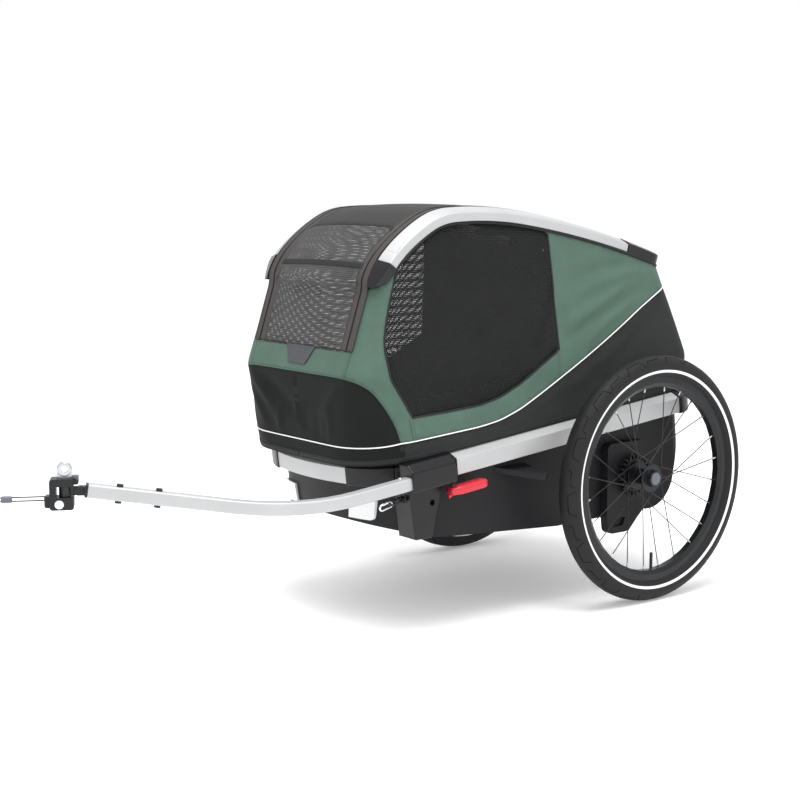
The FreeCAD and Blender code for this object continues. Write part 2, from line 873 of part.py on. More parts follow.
def brake_pedal():
    """Foot pedal at the rear: a ribbed tread on a barrel that turns on the pin."""
    y, z = pedal_pin_place()
    half = pedal_w / 2
    barrel = rod(V(-half, y, z), V(half, y, z), pedal_pin_r * 2)
    tread = box((-half, y, z - pedal_t / 2), (half, y + pedal_l, z + pedal_t / 2))
    tread = softened(tread, pedal_round, lambda e: along(e, V(0, 0, 1)) and e.CenterOfMass.y > y + pedal_l / 2)
    ridges = []
    for i in range(pedal_ridges):
        start = y + pedal_l - pedal_round - 2 * pedal_ridge_w * i
        ridges.append(box((-half + pedal_round, start - pedal_ridge_w, z + pedal_t / 2),
                          (half - pedal_round, start, z + pedal_t / 2 + pedal_ridge_h)))
    hole = pin(V(-half - overrun, y, z), V(half + overrun, y, z), pedal_pin_r + shaft_gap)
    return tilted(barrel.fuse([tread] + ridges).cut(hole))


def tub_outside(gap):
    """The tub's outer form, grown by a gap, to trim what seats on it."""
    return tub_block(-gap, rail_top_h)


# Tow arm

def arm_points():
    """The arm's centre line: its tail in the receiver, its elbow and its front end."""
    slope = math.tan(math.radians(slope_deg))
    tail = V(arm_x, arm_tail, arm_z + (arm_tail - arm_z_at) * slope)
    elbow = V(arm_x, arm_elbow_y, arm_z + (arm_elbow_y - arm_z_at) * slope)
    return tail, elbow, V(*arm_end)


def arm_line():
    """Stations along the arm's centre line, each with its heading: two straights and a bend between."""
    tail, elbow, end = arm_points()
    back = unit(tail - elbow)
    ahead = unit(end - elbow)
    turn = math.pi - back.getAngle(ahead)
    cut = arm_bend_r * math.tan(turn / 2)
    start = elbow + back * cut
    centre = elbow + unit(back + ahead) * math.hypot(arm_bend_r, cut)
    out = unit(start - centre)
    first = back * -1
    stations = [(tail, first)]
    for i in range(arm_bend_steps + 1):
        angle = turn * i / arm_bend_steps
        place = centre + out * (arm_bend_r * math.cos(angle)) + first * (arm_bend_r * math.sin(angle))
        stations.append((place, first * math.cos(angle) - out * math.sin(angle)))
    return stations + [(end, ahead)]


def rounded_square(centre, across, up, half, radius):
    """A square outline with each corner rounded in short steps."""
    flat = half - radius
    points = []
    for i in range(4):
        for j in range(corner_steps + 1):
            turn = math.pi / 2 * (i + j / corner_steps)
            a = radius * math.cos(turn) + flat * (1 if i in (0, 3) else -1)
            b = radius * math.sin(turn) + flat * (1 if i in (0, 1) else -1)
            points.append(centre + across * a + up * b)
    return points


def arm_axes(heading):
    """Across and up for the arm's section, which stays upright all along."""
    across = unit(heading.cross(V(0, 0, 1)))
    return across, across.cross(heading)


def arm_tube():
    solids = []
    for shrink, radius in ((0, arm_corner_r), (arm_wall, arm_corner_r - arm_wall)):
        sections = [rounded_square(place, *arm_axes(heading), arm_side / 2 - shrink, radius)
                    for place, heading in arm_line()]
        solids.append(skin(sections, False))
    up = arm_axes(arm_heading())[1]
    reach = up * arm_side
    holes = [pin(base - reach, base + reach, arm_bolt_r + shaft_gap) for base in arm_bolt_places()]
    base, up = snap_pin_place()
    holes.append(pin(base, base + up * arm_side, snap_pin_r + shaft_gap))
    return solids[0].cut(solids[1]).cut(holes)


def arm_heading():
    tail, elbow, end = arm_points()
    return unit(end - elbow)


def arm_bolt_places():
    end = arm_points()[2]
    return [end - arm_heading() * distance for distance in arm_bolt_at]


def arm_bolts():
    """Hexagon bolts down through the arm, with nuts below."""
    up = arm_axes(arm_heading())[1]
    half = arm_side / 2
    made = []
    for base in arm_bolt_places():
        top = base + up * (half + seat_gap / 2)
        low = base - up * (half + seat_gap / 2)
        shank = pin(low, top, arm_bolt_r)
        nut = bar(low - up * arm_bolt_head_h, low, arm_bolt_head_r, nut_sides)
        head = bar(top, top + up * arm_bolt_head_h, arm_bolt_head_r, nut_sides)
        made.append(shank.fuse([nut, head]))
    return Part.makeCompound(made)


def snap_pin_place():
    tail, elbow, end = arm_points()
    ahead = unit(elbow - tail)
    return tail + ahead * ((arm_tail - receiver_front) / -ahead.y + snap_pin_ahead), arm_axes(ahead)[1]


def arm_snap_pin():
    """Sprung pin that stands out of the arm's top, just ahead of the receiver."""
    base, up = snap_pin_place()
    top = base + up * (arm_side / 2 + snap_pin_head_h)
    foot = base + up * (arm_side / 2 - snap_pin_l)
    flange = base + up * (arm_side / 2 - arm_wall - seat_gap)
    return pin(foot, top, snap_pin_r).fuse(rod(foot, flange - up * snap_pin_head_h, snap_pin_head_r))


def arm_socket():
    """The space that the arm's straight tail slides in."""
    tail, elbow, end = arm_points()
    ahead = unit(elbow - tail)
    across, up = arm_axes(ahead)
    start = tail - ahead * seat_gap
    section = rounded_square(start, across, up, arm_side / 2 + socket_gap, arm_corner_r)
    return polygon(section).extrude(ahead * (arm_tail - arm_entry + overrun))


def receiver_block():
    """The receiver's outer form, drawn level: a stout sleeve beside the corner elbow."""
    inner = frame_half_w - rail_w
    top = receiver_h - receiver_low
    crest = rail_top_h + boot_t
    outline = [(inner, -receiver_low), (receiver_out, -receiver_low), (receiver_out, top), (receiver_crest_x, crest),
               (inner, crest)]
    run = V(0, receiver_rear - receiver_front, 0)
    block = polygon([V(x, receiver_front, up) for x, up in outline]).extrude(run)
    block = softened(block, receiver_round,
                     lambda e: along(e, V(0, 1, 0)) and e.CenterOfMass.x > receiver_out - seat_gap)
    elbow = corner_bar(boot_t, receiver_seam_deg, 90)
    boss_x, boss_y, boss_top = lever_pin_place()
    boss = rod(V(boss_x, boss_y, -receiver_low), V(boss_x, boss_y, -lever_drop + seat_gap), 2 * lever_pin_r)
    return tilted(block.fuse([elbow, rail_spigot(), boss]))


def lug_place():
    return V(bail_x, bail_y, bail_z)


def arm_receiver():
    """Receiver for the arm: sleeve, elbow to the side rail, and a pillar down the tub's corner."""
    top_front = tilted_point(0, pillar_top_front, 0)
    top_rear = tilted_point(0, pillar_top_rear, 0)
    outline = [(top_front.y, top_front.z), (pillar_foot_front, pillar_foot_z), (pillar_foot_rear, pillar_foot_z),
               (top_rear.y, top_rear.z)]
    corner_room = tilted(corner_bar(boot_t + seat_gap, bow_deg, receiver_seam_deg))
    pillar = side_prism(outline, pillar_in, pillar_out).cut(corner_room)
    centre = lug_place()
    half = V(lug_w / 2, 0, 0)
    lug = rod(centre - half, centre + half, lug_r)
    web = box((bail_x - lug_w / 2, bail_y, bail_z - lug_r),
              (bail_x + lug_w / 2, bail_y + lug_web_l, bail_z + lug_r))
    body = receiver_block().fuse([pillar, lug, web]).cut(tub_outside(seat_gap))
    pin_x, pin_y, pin_top = lever_pin_place()
    pin_hole = tilted(pin(V(pin_x, pin_y, -overrun), V(pin_x, pin_y, pin_top), lever_pin_r + shaft_gap))
    hole = rod(V(pillar_out - pillar_hole_d, pillar_hole_y, pillar_hole_z),
               V(pillar_out + overrun, pillar_hole_y, pillar_hole_z), pillar_hole_r)
    lug_hole = pin(centre - half * 2, centre + half * 2, bail_r + shaft_gap)
    return body.cut([arm_socket(), pin_hole, hole, lug_hole])


def lever_pin_place():
    """The lever pin's place in the level drawing: x, y and the top of its hole."""
    return lever_in + lever_w / 2, lever_front + lever_w / 2, -receiver_low / 2


def arm_lock_lever():
    """Release lever under the receiver: a rounded paddle with grip ribs and a short tail."""
    high = -lever_drop
    low = high - lever_t
    rear = lever_front + lever_l
    paddle = box((lever_in, lever_front, low), (lever_in + lever_w, rear, high))
    paddle = softened(paddle, lever_tip_r, lambda e: along(e, V(0, 0, 1)))
    tail = side_prism([(lever_front + lever_tip_r, low), (lever_front + lever_tip_r, low - lever_tail_h),
                       (lever_front + lever_tip_r + lever_tail_l, low)], lever_in, lever_in + lever_tail_w)
    ribs = []
    for i in range(lever_ribs):
        y = rear - lever_tip_r - lever_rib_pitch * i
        x = lever_in + lever_w - lever_rib_l / 2
        ribs.append(box((x - lever_rib_l, y - lever_rib_w, high), (x, y, high + lever_rib_h)))
        ribs.append(box((x - lever_rib_w, y - lever_rib_l / 2, high), (x, y, high + lever_rib_h)))
    pin_x, pin_y, pin_top = lever_pin_place()
    hole = pin(V(pin_x, pin_y, low - overrun), V(pin_x, pin_y, overrun), lever_pin_r + shaft_gap)
    return tilted(paddle.fuse([tail] + ribs).cut(hole))


def lever_pin():
    x, y, top = lever_pin_place()
    low = -lever_drop - lever_t - seat_gap
    shank = pin(V(x, y, low), V(x, y, top - seat_gap), lever_pin_r)
    return tilted(shank.fuse(rod(V(x, y, low - lever_pin_r), V(x, y, low), 2 * lever_pin_r)))


# Hitch, drawn level about its upright pin with its front towards -Y, then turned to the arm's heading

def hitch_turn():
    ahead = arm_heading()
    return math.degrees(math.atan2(ahead.x, -ahead.y))


def hitch_place():
    ahead = arm_heading()
    level = unit(V(ahead.x, ahead.y, 0))
    return arm_points()[2] + level * (cross_reach + stub_l)


def at_hitch(shape):
    placed = shape.copy()
    placed.rotate(V(), V(0, 0, 1), hitch_turn())
    placed.translate(hitch_place())
    return placed


def hitch_point(x, y, z):
    turn = math.radians(hitch_turn())
    return hitch_place() + V(x * math.cos(turn) - y * math.sin(turn), x * math.sin(turn) + y * math.cos(turn), z)


def hitch_stub():
    """Plug bolted in the arm, an end plate, and a fork for the cross."""
    end = arm_points()[2]
    ahead = arm_heading()
    side, up = arm_axes(ahead)
    half = arm_side / 2 - arm_wall - plug_gap
    plug = polygon(rounded_square(end - ahead * plug_l, side, up, half, arm_corner_r - arm_wall))
    plug = plug.extrude(ahead * (plug_l + stub_base))
    plate = polygon(rounded_square(end + ahead * plug_gap, side, up, arm_side / 2, arm_corner_r))
    plate = plate.extrude(ahead * stub_base)
    fork_end = cross_reach + stub_l
    cheek = box((-stub_w / 2, cross_reach, -tongue_r), (stub_w / 2, fork_end, tongue_r))
    nose = rod(V(-stub_w / 2, cross_reach, 0), V(stub_w / 2, cross_reach, 0), tongue_r)
    slot_half = tongue_w / 2 + fork_gap
    slot_end = cross_reach + tongue_r + fork_gap
    slot = box((-slot_half, cross_reach - 2 * tongue_r, -2 * tongue_r), (slot_half, slot_end, 2 * tongue_r))
    hole = pin(V(-stub_w, cross_reach, 0), V(stub_w, cross_reach, 0), cross_pin_r + shaft_gap)
    fork = cheek.fuse(nose).cut([slot, hole])
    reach = up * arm_side
    bolt_holes = [pin(base - reach, base + reach, arm_bolt_r + shaft_gap) for base in arm_bolt_places()]
    return plug.fuse([plate, at_hitch(fork)]).cut(bolt_holes)


def hitch_cross():
    """The cross between fork and head: an upright barrel and a tongue."""
    half = jaw_h / 2 - jaw_gap
    barrel = rod(V(0, 0, -half), V(0, 0, half), cross_r)
    tongue = box((-tongue_w / 2, 0, -tongue_r), (tongue_w / 2, cross_reach, tongue_r))
    eye = rod(V(-tongue_w / 2, cross_reach, 0), V(tongue_w / 2, cross_reach, 0), tongue_r)
    holes = [pin(V(0, 0, -jaw_h), V(0, 0, jaw_h), hitch_pin_r + shaft_gap),
             pin(V(-tongue_w, cross_reach, 0), V(tongue_w, cross_reach, 0), cross_pin_r + shaft_gap)]
    return at_hitch(barrel.fuse([tongue, eye]).cut(holes))


def hitch_cross_pin():
    return at_hitch(pin(V(-stub_w / 2, cross_reach, 0), V(stub_w / 2, cross_reach, 0), cross_pin_r))


head_low = -jaw_h / 2 - jaw_floor
head_top = jaw_h / 2 + jaw_roof


def hitch_pin_span():
    return head_low + jaw_gap, head_top - cup_foot_d - seat_gap


def hitch_pin():
    low, high = hitch_pin_span()
    return at_hitch(pin(V(0, 0, low), V(0, 0, high), hitch_pin_r))


def hitch_head():
    """Jaw that holds the cross, with the cup's socket, the button's well and the latch's ears."""
    x = head_w / 2
    outline = [(-head_front, head_low), (head_rear, head_low), (head_rear, -jaw_h / 2),
               (-head_front + jaw_spine, -jaw_h / 2), (-head_front + jaw_spine, jaw_h / 2), (head_rear, jaw_h / 2),
               (head_rear, head_top), (-head_front, head_top)]
    block = side_prism(outline, -x, x)
    block = softened(block, head_round, lambda e: along(e, V(1, 0, 0)) and (
        abs(e.CenterOfMass.z) > jaw_h and e.CenterOfMass.y < 0 or e.CenterOfMass.z < head_low + seat_gap))
    ear_low = latch_w / 2 + fork_gap
    pin_y, pin_z = latch_pin_place()
    ears = []
    for side in (-1, 1):
        start, end = sorted((side * ear_low, side * (ear_low + latch_t)))
        ears.append(box((start, head_rear - latch_t, pin_z - latch_t), (end, pin_y, pin_z + latch_t)))
        ears.append(rod(V(start, pin_y, pin_z), V(end, pin_y, pin_z), latch_t))
    low, high = hitch_pin_span()
    socket_half = cup_foot_w / 2 + shaft_gap
    socket_t = cup_t / 2 + shaft_gap
    cuts = [pin(V(0, 0, low - jaw_gap), V(0, 0, high + seat_gap), hitch_pin_r + shaft_gap),
            box((-socket_t, -socket_half, head_top - cup_foot_d), (socket_t, socket_half, head_top + overrun)),
            pin(V(x - lock_button_l - lock_button_proud, lock_button_y, lock_button_z),
                V(x + overrun, lock_button_y, lock_button_z), lock_button_r + shaft_gap)]
    shaft = pin(V(-ear_low - latch_t, pin_y, pin_z), V(ear_low + latch_t, pin_y, pin_z), latch_pin_r)
    return at_hitch(block.fuse(ears).fuse(shaft).cut(cuts))


def latch_pin_place():
    return head_rear + latch_t + fork_gap, head_top - jaw_roof / 2


def latch_lever():
    """Latch at the head's top rear: it turns on its pin and hooks over the cup's edge."""
    y, z = latch_pin_place()
    half = latch_w / 2
    top = head_top + seat_gap
    barrel = rod(V(-half, y, z), V(half, y, z), latch_t)
    leg = box((-half, y, z), (half, y + latch_t, top + latch_t))
    front = cup_w / 2 + seat_gap
    finger = box((-half, front, top), (half, y + latch_t, top + latch_t))
    hole = pin(V(-latch_w, y, z), V(latch_w, y, z), latch_pin_r + shaft_gap)
    return at_hitch(barrel.fuse([leg, finger]).cut(hole))


def axle_cup():
    """Plate that drops on the bicycle's axle: a bored boss, a round top and a foot in the head."""
    half_t = cup_t / 2
    base = head_top + seat_gap
    plate = box((-half_t, -cup_w / 2, base), (half_t, cup_w / 2, cup_ring_z))
    crown = rod(V(-half_t, 0, cup_ring_z), V(half_t, 0, cup_ring_z), cup_w / 2)
    boss = rod(V(0, 0, cup_ring_z), V(half_t + cup_boss_t, 0, cup_ring_z), cup_boss_r)
    foot = box((-half_t, -cup_foot_w / 2, head_top - cup_foot_d + shaft_gap), (half_t, cup_foot_w / 2, cup_ring_z))
    bore = pin(V(-overrun, 0, cup_ring_z), V(overrun, 0, cup_ring_z), cup_bore_r)
    return at_hitch(plate.fuse([crown, boss, foot]).cut(bore))


def lock_button():
    """Round push button in the head's side, with a chamfered rim."""
    end = head_w / 2 + lock_button_proud
    start = end - lock_button_l
    rim = lock_button_proud / 3
    made = turned([(start, 0), (start, lock_button_r), (end - rim, lock_button_r), (end, lock_button_r - rim), (end, 0)],
                  round_sides)
    made.translate(V(0, lock_button_y, lock_button_z))
    return at_hitch(made)


def lanyard_anchor():
    """Chamfered block on the head's front that holds both strands of the lanyard."""
    back = -head_front - seat_gap / 2
    front = back - anchor_l
    half = anchor_w / 2
    low = anchor_z - anchor_h / 2
    high = anchor_z + anchor_h / 2
    block = box((-half, front, low), (half, back, high))
    edges = [e for e in block.Edges if e.CenterOfMass.y < front + seat_gap and not along(e, V(0, 1, 0))]
    block = block.makeChamfer(anchor_chamfer / 2, edges)
    holes = [pin(V(0, front - overrun, z), V(0, back - anchor_l / 3, z), lanyard_r + shaft_gap)
             for z in lanyard_levels()]
    return at_hitch(block.cut(holes))


def lanyard_levels():
    return lanyard_z - lanyard_half, lanyard_z + lanyard_half


def lanyard_path():
    """One strand out, a round bend, one strand back."""
    low, high = lanyard_levels()
    start = -head_front - anchor_l * 2 / 3
    turn = start - lanyard_l + lanyard_half
    edges = [Part.LineSegment(V(0, start, low), V(0, turn, low)).toShape(),
             Part.Arc(V(0, turn, low), V(0, turn - lanyard_half, lanyard_z), V(0, turn, high)).toShape(),
             Part.LineSegment(V(0, turn, high), V(0, start, high)).toShape()]
    return Part.Wire(edges)


def lanyard():
    path = lanyard_path()
    start = path.Vertexes[0].Point
    turns = [2 * math.pi * i / wire_sides for i in range(wire_sides)]
    ring = [start + V(lanyard_r * math.cos(a), 0, lanyard_r * math.sin(a)) for a in turns]
    section = Part.makePolygon(ring + ring[:1])
    cord = path.makePipeShell([section], True, False)
    share = cord.Volume / (Part.Face(section).Area * path.Length)
    print("lanyard: bend radius %.2f, cord radius %.2f, volume over section x length %.4f"
          % (lanyard_half, lanyard_r, share))
    return at_hitch(cord)


def lanyard_bead():
    """Grip bead on both strands."""
    centre = -head_front - anchor_l - lanyard_bead_at
    half = lanyard_bead_l / 2
    edge = lanyard_bead_r / 4
    bead = turned([(-half, 0), (-half, lanyard_bead_r - edge), (edge - half, lanyard_bead_r),
                   (half - edge, lanyard_bead_r), (half, lanyard_bead_r - edge), (half, 0)], round_sides)
    bead.rotate(V(), V(0, 0, 1), 90)
    bead.translate(V(0, centre, lanyard_z))
    holes = [rod(V(0, centre - overrun, z), V(0, centre + overrun, z), lanyard_r + seat_gap)
             for z in lanyard_levels()]
    return at_hitch(bead.cut(holes))


# Guards, reflectors and hook

def wheel_guard():
    """Fin on the tub's wall ahead of the wheel, with a round nose."""
    wall = frame_half_w - tub_inset + seat_gap
    nose_x = wall + guard_reach
    nose_y = guard_rear - guard_nose_r
    reach = math.hypot(guard_reach, nose_y - guard_front)
    swing = math.atan2(nose_y - guard_front, guard_reach) - math.asin(guard_nose_r / reach)
    run = math.sqrt(reach ** 2 - guard_nose_r ** 2)
    root = wall - overrun
    points = [V(root, guard_front, 0), V(wall, guard_front, 0),
              V(wall + run * math.cos(swing), guard_front + run * math.sin(swing), 0),
              V(nose_x, guard_rear, 0), V(root, guard_rear, 0)]
    fin = polygon(points).extrude(V(0, 0, guard_t))
    fin = fin.fuse(rod(V(nose_x, nose_y, 0), V(nose_x, nose_y, guard_t), guard_nose_r))
    fin.rotate(V(wall, 0, 0), V(0, 1, 0), guard_droop_deg)
    fin.translate(V(0, 0, guard_z - guard_t / 2))
    return fin.cut(tub_outside(seat_gap))


def front_reflector():
    """Reflector that follows the tub's front: its lower outer corner is round."""
    outline = [(reflector_in, reflector_low), (reflector_out - reflector_taper, reflector_low),
               (reflector_out, reflector_top), (reflector_in + reflector_taper, reflector_top)]
    plate = polygon([V(x, -frame_front, z) for x, z in outline]).extrude(V(0, frame_front / 2, 0))
    plate = softened(plate, reflector_round, lambda e: along(e, V(0, 1, 0)) and e.CenterOfMass.x > reflector_out
                     - 2 * reflector_taper and e.CenterOfMass.z < reflector_top - seat_gap)
    return plate.common(tub_outside(reflector_t)).cut(tub_outside(seat_gap))


def bail_drop(shape):
    placed = shape.copy()
    placed.rotate(lug_place(), V(1, 0, 0), bail_droop_deg)
    return placed


def wire_loop(centre, across, length, width, turn, radius):
    """Round wire bent into a closed loop that runs forward from its rear bar."""
    half = across * (width / 2 - turn)
    near = centre - V(0, turn, 0)
    far = centre + V(0, turn - length, 0)
    up = unit(across.cross(V(0, 1, 0)))
    line = []
    for sign, place, start in ((1, near, 90), (1, far, 0), (-1, far, -90), (-1, near, -180)):
        for j in range(corner_steps + 1):
            angle = math.radians(start - 90.0 * j / corner_steps)
            line.append(place + half * sign + across * (turn * math.cos(angle)) + V(0, turn * math.sin(angle), 0))
    stops = [p for p, before in zip(line, line[-1:] + line) if (p - before).Length > radius / overrun]
    rings = []
    for i in range(len(stops)):
        come = unit(stops[i] - stops[i - 1])
        go = unit(stops[(i + 1) % len(stops)] - stops[i])
        out = unit(come + go).cross(up)
        mitre = 1.0 / math.sqrt((1 + come.dot(go)) / 2)
        rings.append([stops[i] + out * (radius * mitre * math.cos(a)) + up * (radius * math.sin(a))
                      for a in [2 * math.pi * k / wire_sides for k in range(wire_sides)]])
    return skin(rings, True)


def hook_bail():
    """Wire loop that swings in the receiver's lug."""
    return bail_drop(wire_loop(lug_place(), V(1, 0, 0), bail_l, bail_w, bail_turn, bail_r))


def hook_pivot():
    slope = math.radians(bail_droop_deg)
    return lug_place() + V(0, -bail_l * math.cos(slope), -bail_l * math.sin(slope))


def snap_hook():
    """Snap hook on the loop's front bar: an oval of round wire with a sleeved gate."""
    turn = hook_w / 2 - hook_r
    back = lug_place() + V(0, bail_r + seat_gap + hook_r - bail_l, 0)
    ring = wire_loop(back, V(0, 0, 1), hook_l - 2 * hook_r, 2 * turn, turn, hook_r)
    middle = back + V(0, hook_r - hook_l / 2, turn)
    reach = V(0, hook_gate_l / 2, 0)
    return bail_drop(ring.fuse(rod(middle - reach, middle + reach, hook_gate_r)))


# Roof: everything follows one curve of arcs from the peak, forwards and rearwards

def curve(arcs, facing, drop):
    """Arcs from the peak, each (start, middle, end, end slope); drop moves the curve inwards."""
    y = roof_peak_y
    z = roof_peak_z - drop
    slope = 0.0
    made = []
    for radius, turn in arcs:
        r = radius - drop
        stops = []
        for step in (0.0, 0.5, 1.0):
            angle = slope + math.radians(turn) * step
            stops.append((y + facing * r * (math.sin(angle) - math.sin(slope)),
                          z - r * (math.cos(slope) - math.cos(angle))))
        made.append((stops[0], stops[1], stops[2], slope + math.radians(turn)))
        y, z = stops[2]
        slope += math.radians(turn)
    return made


seam_arcs = ((tip_r, seam_deg),)
rear_seam_arcs = ((back_r, seam_deg / 3),)
nose_all = roof_arcs + mesh_arcs + seam_arcs + cap_arcs
tail_all = rear_arcs + rear_seam_arcs + tail_arcs


def run_of(front, rear):
    """Edges from front to rear, with the place and slope that they start from."""
    edges = [Part.Arc(V(0, *end), V(0, *mid), V(0, *start)).toShape()
             for start, mid, end, slope in reversed(front)]
    edges += [Part.Arc(V(0, *start), V(0, *mid), V(0, *end)).toShape() for start, mid, end, slope in rear]
    if front:
        return edges, front[-1][2], front[-1][3]
    start, mid, end, slope = rear[0]
    first = math.asin((end[0] - start[0]) / math.hypot(end[0] - start[0], end[1] - start[1]))
    return edges, start, -(2 * (math.pi / 2 - first) - slope)


def swept(section, front, rear):
    """A closed (across, up) outline drawn along a stretch of the roof's curve."""
    edges, start, slope = run_of(front, rear)
    points = [V(x, start[0] - up * math.sin(slope), start[1] + up * math.cos(slope)) for x, up in section]
    outline = Part.makePolygon(points + points[:1])
    return Part.Wire(edges).makePipeShell([outline], True, False)


def top_rail_section(inset):
    left = roof_rail_in + inset
    right = roof_rail_in + roof_rail_w - inset
    ledge = roof_rail_in + roof_rail_ledge - inset
    top = -inset
    low = -roof_rail_h + inset
    shoulder = top - roof_rail_fall
    return [(left, low), (left, top), (ledge, shoulder), (ledge, shoulder - roof_groove),
            (right, shoulder - 2 * roof_groove), (right, low)]


def top_rail():
    front = curve(roof_arcs + mesh_arcs, -1, 0)
    rear = curve(rear_arcs, 1, 0)
    return swept(top_rail_section(0), front, rear).cut(swept(top_rail_section(roof_rail_wall), front, rear))


def plan_round():
    """Plan outline that rounds the caps' outer corners."""
    front = curve(nose_all, -1, 0)[-1][2][0] - 2 * cap_t
    rear = curve(tail_all, 1, 0)[-1][2][0] + cap_t
    half = roof_rail_in + roof_rail_w + cap_t + seat_gap
    block = box((0, front, 0), (half, rear, cabin_high))
    outer = [e for e in block.Edges if along(e, V(0, 0, 1)) and e.CenterOfMass.x > half / 2]
    block = block.makeFillet(cap_corner_r / 2, [e for e in outer if e.CenterOfMass.y < 0])
    outer = [e for e in block.Edges
             if along(e, V(0, 0, 1)) and e.CenterOfMass.x > half / 2 and e.CenterOfMass.y > 0]
    return block.makeFillet(cap_rear_r, [e for e in outer if e.CenterOfMass.y > rear - seat_gap])


def front_cap():
    """Moulded cap that carries the rail down to its front end."""
    return swept(top_rail_section(-cap_t), curve(nose_all, -1, 0)[-len(cap_arcs):], []).common(plan_round())


def rear_cap():
    return swept(top_rail_section(-cap_t), [], curve(tail_all, 1, 0)[-len(tail_arcs):]).common(plan_round())


def roof_bow(arcs, facing, half):
    """Cross tube under the roof at the end of a stretch of the curve."""
    y, z = curve(arcs, facing, bow_drop)[-1][2]
    return rod(V(-half, y, z), V(half, y, z), bow_tube_r)


sheet_half = roof_rail_in - cap_t - seat_gap


def roof_bows():
    nose = roof_bow(roof_arcs + mesh_arcs + seam_arcs + ((tip_r, nose_bow_deg),), -1, sheet_half)
    back = roof_bow(rear_arcs[:1] + ((back_r, back_bow_deg),), 1, roof_rail_in - seat_gap)
    return Part.makeCompound([nose, back])


def sheet_section():
    """A thin band across the roof, crowned in the middle."""
    crown = (sheet_half ** 2 + roof_crown ** 2) / (2 * roof_crown)
    spread = math.asin(sheet_half / crown)
    outline = []
    for lift, order in ((0, 1), (-roof_t, -1)):
        for i in range(sheet_steps + 1):
            turn = order * spread * (2.0 * i / sheet_steps - 1)
            outline.append((crown * math.sin(turn), crown * (math.cos(turn) - math.cos(spread)) - roof_drop + lift))
    return outline


def roof_fabric():
    return swept(sheet_section(), curve(roof_arcs, -1, 0), curve(tail_all, 1, 0))


def mesh_sheet():
    front = curve(nose_all, -1, 0)[len(roof_arcs):]
    return swept(sheet_section(), front, [])


def above_roof(drop, x_low, x_high):
    """Everything above the roof's curve, moved inwards by the drop."""
    front = curve(nose_all, -1, drop)
    rear = curve(tail_all, 1, drop)
    edges, start, slope = run_of(front, rear)
    end = rear[-1][2]
    far = 2 * frame_front
    corners = [V(0, *end), V(0, far, end[1]), V(0, far, cabin_high), V(0, -far, cabin_high), V(0, -far, start[1]),
               V(0, *start)]
    edges += [Part.LineSegment(a, b).toShape() for a, b in zip(corners, corners[1:])]
    face = Part.Face(Part.Wire(edges))
    face.translate(V(x_low, 0, 0))
    return face.extrude(V(x_high - x_low, 0, 0))


def under_rail():
    return roof_rail_h + cap_t + seat_gap


def roof_hinge():
    """Plate under the rail with the hoop's pivot and the lock's boss."""
    high = roof_rail_in - cap_t - seat_gap
    low = high - knuckle_t
    rail_z = curve(rear_arcs, 1, 0)[-1][2][1]
    outline = [(knuckle_front, rail_z), (knuckle_front, knuckle_z), (knuckle_y + knuckle_r, knuckle_z),
               (knuckle_y + knuckle_r, rail_z)]
    plate = side_prism(outline, low, high)
    for y, r in ((knuckle_y, knuckle_r), (knuckle_lock_y, knuckle_lock_r)):
        plate = plate.fuse(rod(V(low, y, knuckle_z), V(high, y, knuckle_z), r))
    shaft = pin(V(hoop_x - hoop_r, knuckle_y, knuckle_z), V(high, knuckle_y, knuckle_z), pivot_r)
    return plate.cut(above_roof(roof_rail_h / 2, low, high)).fuse(shaft)


def hoop_leg():
    """Leg of the rear hoop: a foot eye, a straight tube and a head that reaches forward to the knuckle."""
    foot = V(hoop_x, hoop_foot_y, hoop_foot_z)
    top = V(hoop_x, hoop_top_y, hoop_top_z)
    knuckle = V(hoop_x, knuckle_y, knuckle_z)
    half = V(hoop_r, 0, 0)
    leg = rod(foot, top, hoop_r)
    eyes = [rod(place - half, place + half, hoop_eye_r) for place in (foot, top, knuckle)]
    head = side_prism([(knuckle_y, knuckle_z - hoop_eye_r), (hoop_top_y, hoop_top_z - hoop_eye_r),
                       (hoop_top_y, hoop_top_z + hoop_eye_r), (knuckle_y, knuckle_z + hoop_eye_r)],
                      hoop_x - hoop_r, hoop_x + hoop_r)
    holes = [pin(place - half * 2, place + half * 2, pivot_r + shaft_gap) for place in (foot, knuckle)]
    return leg.fuse(eyes + [head]).cut(holes)


def hoop_bar():
    half = hoop_x - hoop_r - seat_gap
    return rod(V(-half, hoop_top_y, hoop_top_z), V(half, hoop_top_y, hoop_top_z), hoop_bar_r)


def hoop_foot():
    """Ear on the rear bar that carries the hoop's foot pin."""
    low = hoop_x + hoop_r + seat_gap
    high = low + ear_t
    top_in = tilted_point(0, frame_rear - ear_foot_in, rail_side_h)
    top_out = tilted_point(0, frame_rear - ear_foot_out, rail_side_h)
    outline = [(hoop_foot_y - hoop_eye_r, hoop_foot_z), (top_in.y, top_in.z), (top_out.y, top_out.z),
               (hoop_foot_y + hoop_eye_r, hoop_foot_z)]
    ear = side_prism(outline, low, high)
    ear = ear.fuse(rod(V(low, hoop_foot_y, hoop_foot_z), V(high, hoop_foot_y, hoop_foot_z), hoop_eye_r))
    room = tilted(rear_bar(seat_gap / 2, 0, frame_half_w))
    shaft = pin(V(0, hoop_foot_y, hoop_foot_z), V(high + overrun, hoop_foot_y, hoop_foot_z), pivot_r + shaft_gap)
    return ear.cut([room, tub_outside(seat_gap), shaft])


def hoop_pin():
    return pin(V(hoop_x - hoop_r, hoop_foot_y, hoop_foot_z),
               V(hoop_x + hoop_r + ear_t, hoop_foot_y, hoop_foot_z), pivot_r)


# Fabric cabin

def cabin_section(level, inset):
    """One plan section of the cabin."""
    return rounded_plan(level["half"] - inset, inset - level["front"], level["rear"] - inset,
                        level["corner"] - inset, cabin_rear_r - inset, level["z"])[:-1]


def cabin_block(inset):
    return skin([cabin_section(level, inset) for level in cabin_levels], False)


